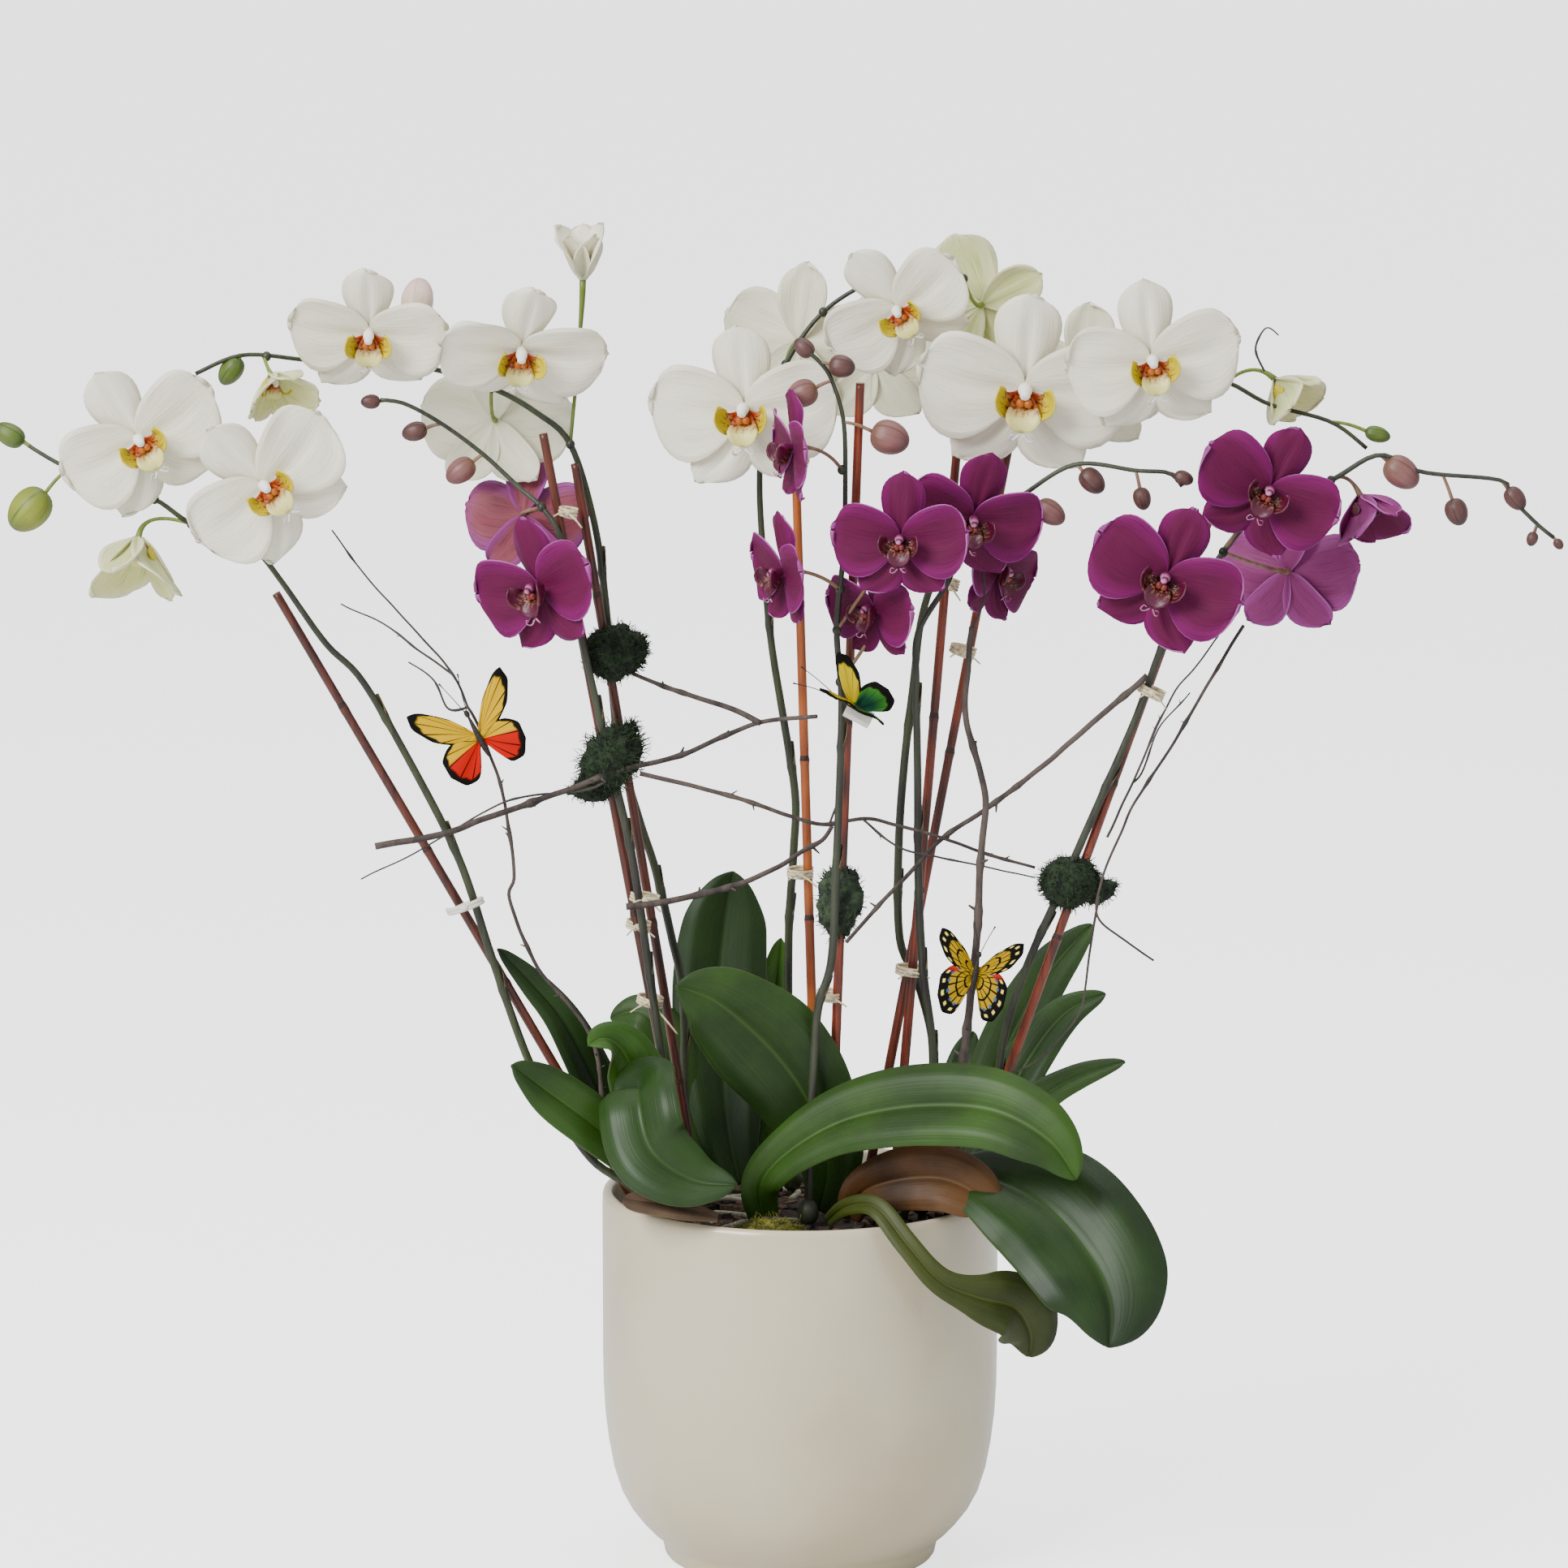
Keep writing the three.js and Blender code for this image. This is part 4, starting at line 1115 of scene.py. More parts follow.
@dataclass(frozen=True)
class Bud:
    """A closed bud: where its stalk starts, its middle, and its half sizes."""

    start: Point
    at: Point
    radius: float
    length: float
    finish: str | None = None

    def build(self, piece: Piece, finish: int, stalk: int) -> None:
        """Adds the bud and its stalk to a spike.

        Args:
            piece: The spike.
            finish: The bud's finish.
            stalk: Its stalk's finish.
        """
        at, start = Vector(self.at), Vector(self.start)
        along = (at - start).normalized()
        base, tip = at - along * self.length, at + along * self.length
        piece.egg(base, tip, self.radius, 0.44, 18, 14, finish, lobes=0.09)
        sag = start.lerp(base, 0.5) + Vector((0.0, 0.0, 0.12 * (base - start).length))
        piece.tube(bent(start, sag, base + along * 1.5), lambda s: 1.0 + 0.25 * s, 7, 8, stalk)


# ------------------------------------------------------------------------------ spikes


@dataclass(frozen=True)
class Spike:
    """A flower stem with its blooms and buds. crown is the plan place of the plant that it leaves."""

    node: str
    crown: tuple[float, float]
    stem: tuple[Point, ...]
    blooms: tuple[Bloom, ...] = ()
    buds: tuple[Bud, ...] = ()
    joints: tuple[float, ...] = (0.16, 0.3, 0.44, 0.57)

    BASE_RADIUS = 2.6
    TIP_RADIUS = 1.3
    CROWN_BASE = 221.0
    CROWN_TOP = 238.0
    CROWN_RADIUS = 6.5
    BRACT_LENGTH = 15.0
    NODE_REACH = Vector((0, 0, 3.2))
    NODE_RADIUS = 2.9
    SMALL_BUD = 7.2

    @property
    def white(self) -> bool:
        """Whether its blooms are white."""
        return "white" in self.node

    def radius(self, share: float) -> float:
        """The stem's radius, with a swelling at each joint."""
        plain = self.BASE_RADIUS + (self.TIP_RADIUS - self.BASE_RADIUS) * ease(0.35, 1.0, share)
        swell = sum(math.exp(-(((share - joint) / 0.006) ** 2)) for joint in self.joints)
        return plain + 0.55 * swell

    def bract(self, piece: Piece, at: Vector, along: Vector, size: float, finish: int) -> None:
        """Adds the dry sheath at a joint of the stem.

        Args:
            piece: The spike.
            at: The joint.
            along: The stem's direction there.
            size: The sheath's length.
            finish: Its finish.
        """
        out = along.orthogonal().normalized()
        side = along.cross(out)

        def place(across: float, share: float) -> Vector:
            """The point of the sheath."""
            wrap = across * 1.9 * (1.0 - 0.75 * share)
            reach = (self.BASE_RADIUS + 0.35) * (1.0 + 0.35 * share)
            return at + along * (share * size) + reach * (math.cos(wrap) * out + math.sin(wrap) * side)

        piece.sheet(6, 5, place, front=finish, thickness=0.4)

    def build(self, palette: Palette, seed: int) -> None:
        """Makes the spike, then each of its blooms.

        Args:
            palette: The finishes.
            seed: The seed of its small differences.
        """
        stem = "white_stem" if self.white else "purple_stem"
        stalk = "green_pedicel" if self.white else "rose_pedicel"
        buds = ("green_bud", "dark_green_bud") if self.white else ("rose_bud", "plum_bud")
        skins = [stem, stalk, "bract", *buds, *(bud.finish for bud in self.buds if bud.finish)]
        piece = Piece(self.node.replace("spike", "stem"), palette, *skins)
        route = Route(self.stem)
        piece.tube(self.stem, self.radius, 10, 130, 0)
        for joint in self.joints:
            self.bract(piece, route.point(joint), route.tangent(joint), self.BRACT_LENGTH, 2)
        for bloom in self.blooms:
            piece.tube(bloom.pedicel(), lambda s: 1.15 + 0.9 * ease(0.6, 1.0, s), 8, 14, 1)
            start = Vector(bloom.start)
            piece.egg(start - self.NODE_REACH, start + self.NODE_REACH, self.NODE_RADIUS, 0.5, 10, 7, 0)
        for bud in self.buds:
            plain = buds[bud.radius < self.SMALL_BUD]
            bud.build(piece, skins.index(bud.finish or plain), 1)
        x, y = self.crown
        low, high = Vector((x, y, self.CROWN_BASE)), Vector((x, y, self.CROWN_TOP))
        piece.egg(low, high, self.CROWN_RADIUS, 0.45, 14, 10, 0)
        piece.publish("flower_stem", self.node)
        kind = BloomKind.WHITE if self.white else BloomKind.PURPLE
        slot = "white_bloom" if self.white else "purple_bloom"
        for index, bloom in enumerate(self.blooms):
            bloom.build(palette, kind, slot, seed * 20 + index)


# ------------------------------------------------------------------------------ stakes and twigs


@dataclass(frozen=True)
class Stake:
    """A bamboo stake between two ends, with flat cut tops and shallow joints."""

    node: str
    ends: tuple[Point, Point]
    finish: str = "stake"

    RADIUS = 3.05
    JOINTS = (0.21, 0.42, 0.62, 0.83)
    SIDES = 16
    ROWS = 150

    def radius(self, share: float) -> float:
        """The stake's radius, with a ridge and a groove at each joint."""
        size = self.RADIUS * (1.0 - 0.12 * share)
        for joint in self.JOINTS:
            size += 0.34 * math.exp(-(((share - joint) / 0.0045) ** 2))
            size -= 0.2 * math.exp(-(((share - joint - 0.008) / 0.003) ** 2))
        return size

    def build(self, palette: Palette) -> None:
        """Makes the stake."""
        piece = Piece(self.node.replace("stake", "bamboo"), palette, self.finish, "stake_joint")
        low, high = (Vector(end) for end in self.ends)
        points = [tuple(low.lerp(high, i / 4)) for i in range(5)]
        piece.tube(points, self.radius, self.SIDES, self.ROWS)
        length = (high - low).length
        for face in piece.bm.faces:
            share = (face.calc_center_median() - low).length / length
            if any(abs(share - joint - 0.006) < 0.0035 for joint in self.JOINTS):
                face.material_index = 1
            if share > 0.9995 or share < 0.0005:
                face.smooth = False
        piece.publish("pale_bamboo" if self.finish == "pale_stake" else "bamboo", self.node)


@dataclass(frozen=True)
class Branch:
    """One stretch of a twig."""

    radius: float
    points: tuple[Point, ...]


@dataclass(frozen=True)
class Twig:
    """A dry twig of one or more branches, with knots and a crooked line."""

    name: str
    branches: tuple[Branch, ...]
    nodes: tuple[str, ...] = ()

    FINE = 0.95
    KNOT_GAP = 45.0

    def build(self, palette: Palette, seed: int) -> None:
        """Makes the twig.

        Args:
            palette: The finishes.
            seed: The seed of its knots.
        """
        piece = Piece(self.name, palette, "twig", "twig_fine")
        dice = random.Random(seed)
        for branch in self.branches:
            length = Route(branch.points).length
            knots = [dice.uniform(0.06, 0.95) for _ in range(max(2, int(length / self.KNOT_GAP)))]
            narrow = 0.018 * 200 / max(length, 60)

            def radius(share: float, size: float = branch.radius, marks: Sequence[float] = knots) -> float:
                """The branch's radius at a share of its length."""
                swell = sum(math.exp(-(((share - mark) / narrow) ** 2)) for mark in marks)
                return size * (1.08 - 0.42 * share) * (1.0 + 0.32 * swell)

            thick = branch.radius > self.FINE
            rows = max(24, int(length / 2.6))
            piece.tube(branch.points, radius, 9 if thick else 6, rows, 0 if thick else 1, wobble=0.7)
            for mark in knots[:: 1 if thick else 2]:
                route = Route(branch.points)
                at, ahead = route.point(mark), route.tangent(mark)
                out = Matrix.Rotation(dice.uniform(0.0, 6.28), 3, ahead) @ ahead.orthogonal().normalized()
                spur = at + out * branch.radius * dice.uniform(2.0, 3.6) + ahead * dice.uniform(1.0, 4.0)
                points = [tuple(at), tuple(at.lerp(spur, 0.5)), tuple(spur)]
                piece.tube(points, lambda s: branch.radius * 0.6 * (1 - 0.6 * s), 6, 5, 1)
        piece.publish("twig_bark", *self.nodes)


# ------------------------------------------------------------------------------ leaves


@dataclass(frozen=True)
class Leaf:
    """A thick strap leaf: its middle line, full widths along it, and the side that its face looks to."""

    node: str
    spine: tuple[Point, ...]
    widths: tuple[float, ...]
    face: Point
    fold: float = 0.2
    face_end: Point | None = None
    skins: tuple[str, str] = ("leaf", "leaf_under")
    slot: str = "leaf"
    name: str | None = None

    COLUMNS = 18
    ROWS = 44
    THICKNESS = 1.7

    def build(self, palette: Palette, seed: int) -> None:
        """Makes the leaf.

        Args:
            palette: The finishes.
            seed: The seed of its waves.
        """
        extra = self.name is not None
        piece = Piece(self.name or self.node.replace("leaf", "foliage"), palette, *self.skins)
        dice = random.Random(seed)
        route = Route(self.spine)
        faces = [Vector(face).normalized() for face in (self.face, self.face_end or self.face)]
        widths = (*self.widths[:-1], max(self.widths[-1], 0.62 * self.widths[-2]))
        phase, ripple = dice.uniform(0.0, 6.28), dice.uniform(0.02, 0.045)
        skew = dice.uniform(-0.04, 0.04)

        def place(across: float, along: float) -> Vector:
            """The point of the leaf's face."""
            ahead = route.tangent(along)
            side = ahead.cross(faces[0].lerp(faces[1], ease(0.15, 0.65, along))).normalized()
            out = side.cross(ahead)
            round_end = math.sqrt(max(0.0, 1.0 - max(0.0, along - 0.82) ** 2 * 30.6))
            half = 0.5 * between(widths, along) * round_end
            reach = abs(across)
            lift = self.fold * half * (1.0 - math.exp(-reach / 0.3)) + 0.1 * half * reach * reach
            lift -= 0.2 * half * ease(0.6, 1.0, reach) * reach
            lift += ripple * half * reach**2 * math.sin(9.0 * along + 2.2 * across + phase)
            lift -= 0.7 * math.exp(-((across / 0.05) ** 2))
            sway = skew * half * math.sin(7.0 * along + phase)
            return route.point(along) + side * (across * half + sway) + out * lift

        piece.sheet(self.COLUMNS, self.ROWS, place, front=0, back=1, thickness=self.THICKNESS)
        piece.publish(self.slot, *([] if extra else [self.node]), rounds=1)


# ------------------------------------------------------------------------------ pot and mix


@dataclass(frozen=True)
class Pot:
    """The round glazed pot, turned from its half section."""

    profile: tuple[tuple[float, float], ...] = (
        (0.0, 0.0), (81.0, 0.0), (83.4, 0.7), (84.6, 2.4), (86.0, 9.0), (87.4, 11.4), (90.0, 14.2),
        (94.0, 17.6), (100.0, 24.0), (106.4, 32.4), (112.0, 43.0), (116.4, 57.0), (119.5, 74.0),
        (121.6, 91.0), (122.7, 110.0), (123.0, 130.0), (123.0, 160.0), (123.0, 195.0), (123.0, 222.0),
        (122.9, 229.6), (122.2, 232.3), (120.9, 233.7), (119.4, 234.0), (117.8, 233.5), (116.5, 231.8),
        (116.1, 228.0), (116.0, 200.0), (116.0, 140.0), (115.6, 108.0), (112.0, 76.0), (104.0, 47.0),
        (88.0, 28.0), (66.0, 16.5), (30.0, 12.0), (0.0, 11.0),
    )
    steps: int = 144

    def build(self, palette: Palette) -> None:
        """Makes the pot."""
        piece = Piece("glazed_pot", palette, "glaze")
        piece.spun(self.profile, self.steps)
        piece.publish("pot", "pot")


@dataclass(frozen=True)
class PottingMix:
    """The dark mix that fills the pot, with bark chips and roots on it."""

    radius: float = 116.0
    edge: float = 216.0
    crown: float = 219.0
    floor: float = 190.0
    chips: int = 330
    roots: int = 9

    def top(self, x: float, y: float) -> float:
        """The height of the mix at a plan place."""
        share = math.hypot(x, y) / self.radius
        lumps = noise.noise(Vector((x * 0.045, y * 0.045, 1.0))) * 3.2
        lumps += noise.noise(Vector((x * 0.16, y * 0.16, 5.0))) * 1.4
        return self.edge + (self.crown - self.edge) * (1 - share * share) + lumps * (1.0 - 0.5 * share)

    def bed(self, palette: Palette) -> None:
        """Makes the uneven bed."""
        piece = Piece("mix_bed", palette, "soil")

        def place(across: float, along: float) -> Vector:
            """The point of the bed's top."""
            turn = across * math.pi
            reach = self.radius * along
            x, y = reach * math.cos(turn), reach * math.sin(turn)
            return Vector((x, y, self.top(x, y)))

        verts = piece.sheet(120, 40, place, front=0)
        bmesh.ops.remove_doubles(piece.bm, verts=verts, dist=MERGE_GAP)
        rim = [edge for edge in piece.bm.edges if edge.is_boundary]
        wall = bmesh.ops.extrude_edge_only(piece.bm, edges=rim)["geom"]
        low = [part for part in wall if isinstance(part, bmesh.types.BMVert)]
        for vert in low:
            vert.co.z = self.floor
        bmesh.ops.contextual_create(piece.bm, geom=[e for e in piece.bm.edges if e.is_boundary])
        bmesh.ops.recalc_face_normals(piece.bm, faces=piece.bm.faces)
        piece.publish("potting_mix", "potting_mix")

    def litter(self, palette: Palette, seed: int) -> None:
        """Makes the bark chips and roots.

        Args:
            palette: The finishes.
            seed: The seed of where they lie.
        """
        piece = Piece("mix_chips", palette, "chips", "soil", "rim_moss", "roots")
        dice = random.Random(seed)
        for index in range(self.chips):
            reach = self.radius * math.sqrt(dice.random()) * 0.93
            turn = dice.uniform(0.0, TAU)
            x, y = reach * math.cos(turn), reach * math.sin(turn)
            size = Vector((dice.uniform(5, 12), dice.uniform(4, 8), dice.uniform(2, 4.5)))
            verts = bmesh.ops.create_cube(piece.bm, size=1.0, calc_uvs=True)["verts"]
            for vert in verts:
                vert.co = Vector([c * s for c, s in zip(vert.co, size)]) * dice.uniform(0.75, 1.15)
            spin = Matrix.Rotation(dice.uniform(0, 6.28), 4, "Z")
            tilt = Matrix.Rotation(dice.uniform(-0.45, 0.45), 4, "X")
            lift = Matrix.Translation((x, y, self.top(x, y) + dice.uniform(-0.5, 1.8)))
            piece.move(verts, lift @ (spin @ tilt))
            kind = 0 if index % 3 else 1
            for face in faces_of(verts):
                face.material_index = kind
        for _ in range(self.roots):
            turn = dice.uniform(0.0, TAU)
            route = []
            for step in range(6):
                turn += dice.uniform(-0.5, 0.5)
                reach = 30.0 + step * 14.0
                x, y = reach * math.cos(turn), reach * math.sin(turn)
                route.append((x, y, self.top(x, y) + 2.5 * math.sin(step * 1.1)))
            piece.tube(route, lambda s: 2.2 * (1 - 0.4 * s), 8, 30, 3)
        piece.publish("potting_mix", "potting_mix", bevel=0.6)


# ------------------------------------------------------------------------------ moss


@dataclass(frozen=True)
class Tuft:
    """A ball of dry moss: a lumpy core with many fine strands."""

    name: str
    at: Point
    axis: Point
    radius: float
    length: float
    nodes: tuple[str, ...] = ()
    strands: int = 900
    strand: float = 4.6
    skins: tuple[str, str] = ("moss", "moss_fibre")
    slot: str = "moss"
    floor: float = -1.0e9

    def build(self, palette: Palette, seed: int) -> None:
        """Makes the tuft.

        Args:
            palette: The finishes.
            seed: The seed of its lumps and strands.
        """
        piece = Piece(self.name, palette, *self.skins)
        dice = random.Random(seed)
        centre, along = Vector(self.at), Vector(self.axis).normalized()
        ends = (centre - along * self.length, centre + along * self.length)
        core = piece.egg(*ends, self.radius, 0.5, 36, 30, 0)
        for vert in core:
            out = vert.co - centre
            lump = noise.noise(vert.co * 0.12 + Vector((seed, 0, 0))) * 0.2
            lump += noise.noise(vert.co * 0.4) * 0.12
            vert.co = centre + out * (0.88 + lump)
        skin = [vert.co.copy() for vert in core]
        for _ in range(self.strands):
            root = dice.choice(skin)
            out = (root - centre).normalized()
            stray = Vector((dice.uniform(-1, 1), dice.uniform(-1, 1), dice.uniform(-1, 1)))
            lean = (out + 0.85 * stray).normalized()
            length = self.strand * dice.uniform(0.35, 1.1)
            middle = root + lean * length * 0.5
            tip = root + (lean + 0.5 * out.cross(stray)).normalized() * length
            tip.z = max(tip.z, self.floor)
            points = [tuple(root - out * 1.5), tuple(middle), tuple(tip)]
            size = dice.uniform(0.26, 0.5)
            piece.tube(points, lambda s, wide=size: wide * (1 - 0.6 * s), 3, 3, 1)
        piece.publish(self.slot, *self.nodes)


# ------------------------------------------------------------------------------ butterflies


FORE_WING = ((0.02, 0.02), (0.2, 0.26), (0.42, 0.42), (0.5, 0.36), (0.4, 0.14), (0.2, 0.0))
HIND_WING = ((0.02, 0.04), (0.3, 0.02), (0.4, -0.12), (0.34, -0.3), (0.18, -0.34), (0.05, -0.12))
# Places along the body in shares of the span, with their heights over the wings.
INSECT_BODY = ((-0.2, 1.2), (-0.1, 1.6), (0.02, 2.0), (0.12, 1.8), (0.2, 1.6))


@dataclass(frozen=True)
class Butterfly:
    """A paper butterfly on a wire: two pairs of wings, a body, feelers and its clip."""

    node: str
    at: Point
    yaw: float
    pitch: float
    roll: float
    span: float
    lift: float
    style: WingStyle
    feelers: float = 0.3
    tail: float = 1.0
    block: bool = False

    def wing(
        self,
        piece: Piece,
        outline: Sequence[tuple[float, float]],
        hand: int,
        finish: int,
        depth: float,
    ) -> None:
        """Adds one wing.

        Args:
            piece: The butterfly.
            outline: The wing's edge in shares of the span.
            hand: 1 for the right one, -1 for the left one.
            finish: Its finish.
            depth: How far behind the body it lies.
        """
        turn = math.radians(-hand * self.lift)
        xs, ys = [p[0] for p in outline], [p[1] for p in outline]
        hub = Vector((xs[0], 0.5 * (ys[0] + ys[-1]), 0.0))

        def place(across: float, along: float) -> Vector:
            """The point of the wing's face."""
            share = 0.5 + 0.5 * across
            edge = Vector((between(xs, share), between(ys, share), 0.0))
            notch = 1.0 - 0.035 * abs(math.sin(share * math.pi * 6.0))
            flat = hub.lerp(edge, along * notch)
            flat.z = 0.03 * math.sin(along * 3.0) + 0.012 * math.cos(across * 9.0) * along
            flat.x *= hand
            return Matrix.Rotation(turn, 3, "Y") @ (flat * self.span) - Vector((0, 0, depth))

        piece.sheet(34, 12, place, front=finish, thickness=0.45)

    def build(self, palette: Palette) -> None:
        """Makes the butterfly."""
        style = self.style.value
        name = self.node.replace("butterfly", "paper_butterfly")
        piece = Piece(name, palette, f"fore_{style}", f"hind_{style}", "insect", "clip")
        for hand in (-1, 1):
            self.wing(piece, [(x, y * self.tail) for x, y in HIND_WING], hand, 1, 0.9)
            self.wing(piece, FORE_WING, hand, 0, 0.0)
        size = self.span
        body = [(0, share * size, height) for share, height in INSECT_BODY]
        piece.tube(body, lambda s: (0.55 + 1.6 * math.sin(math.pi * s**0.75)) * 0.9, 12, 24, 2)
        piece.egg(Vector((0, 0.17 * size, 1.6)), Vector((0, 0.24 * size, 1.8)), 1.7, 0.5, 12, 8, 2)
        for hand in (-1, 1):
            feeler = [
                (0.6 * hand, 0.22 * size, 2),
                (3.4 * hand, (0.24 + 0.5 * self.feelers) * size, 4),
                (6.5 * hand, (0.24 + self.feelers) * size, 3),
            ]
            piece.tube(feeler, lambda s: 0.3 + 0.35 * ease(0.88, 1.0, s), 6, 14, 2)
        if self.block:
            verts = bmesh.ops.create_cube(piece.bm, size=1.0, calc_uvs=True)["verts"]
            bmesh.ops.scale(piece.bm, vec=(9.0, 17.0, 5.0), verts=verts)
            bmesh.ops.translate(piece.bm, vec=(0.0, -5.0, -4.0), verts=verts)
            for face in faces_of(verts):
                face.material_index = 3
                face.smooth = False
        place = Matrix.Translation(self.at) @ facing(self.yaw, self.pitch, self.roll).to_matrix().to_4x4()
        piece.move(piece.bm.verts, place)
        piece.publish("butterfly_wing", self.node)


# ------------------------------------------------------------------------------ ties


@dataclass(frozen=True)
class Tie:
    """A raffia tie round a stem and its stake, with a knot and two tails."""

    name: str
    at: Point
    axis: Point
    reach: tuple[float, float] = (5.2, 4.4)
    turns: float = 3.0
    tails: tuple[float, float] = (13.0, 9.0)
    clip: bool = False

    def build(self, palette: Palette, seed: int) -> None:
        """Makes the tie.

        Args:
            palette: The finishes.
            seed: The seed of its tails.
        """
        piece = Piece(self.name, palette, "clip" if self.clip else "raffia")
        dice = random.Random(seed)
        centre, along = Vector(self.at), Vector(self.axis).normalized()
        across = along.cross(Vector((0, -1, 0))).normalized()
        front = across.cross(along)
        if front.y > 0:
            front.negate()
        route = []
        steps = int(self.turns * 14)
        for step in range(steps + 1):
            angle = TAU * self.turns * step / steps
            level = (step / steps - 0.5) * (2.2 * self.turns - 1.0) * (1.3 if self.clip else 1.0)
            wide = self.reach[0] + 0.25 * math.sin(7.0 * angle)
            deep = self.reach[1] + 0.2 * math.cos(5.0 * angle)
            loop = across * wide * math.cos(angle) + front * deep * math.sin(angle)
            route.append(tuple(centre + loop + along * level))
        piece.tube(route, lambda s: 1.35 if self.clip else 0.95, 7, steps * 2)
        knot = centre + front * (self.reach[1] + 0.6)
        piece.egg(knot - across * 2.6, knot + across * 2.6, 2.1, 0.5, 10, 8)
        if self.clip:
            piece.publish("raffia")
            return
        for hand, length in zip((1, -1), self.tails):
            drop = Vector((dice.uniform(-0.3, 0.3), -0.35, -0.55 + dice.uniform(-0.2, 0.4)))
            away = (across * hand + drop).normalized()
            end = knot + away * length
            middle = knot.lerp(end, 0.5) + Vector((0, -1.4, 1.2))
            piece.tube([tuple(knot), tuple(middle), tuple(end)], lambda s: 0.8 - 0.3 * s, 5, 8)
        piece.publish("raffia")


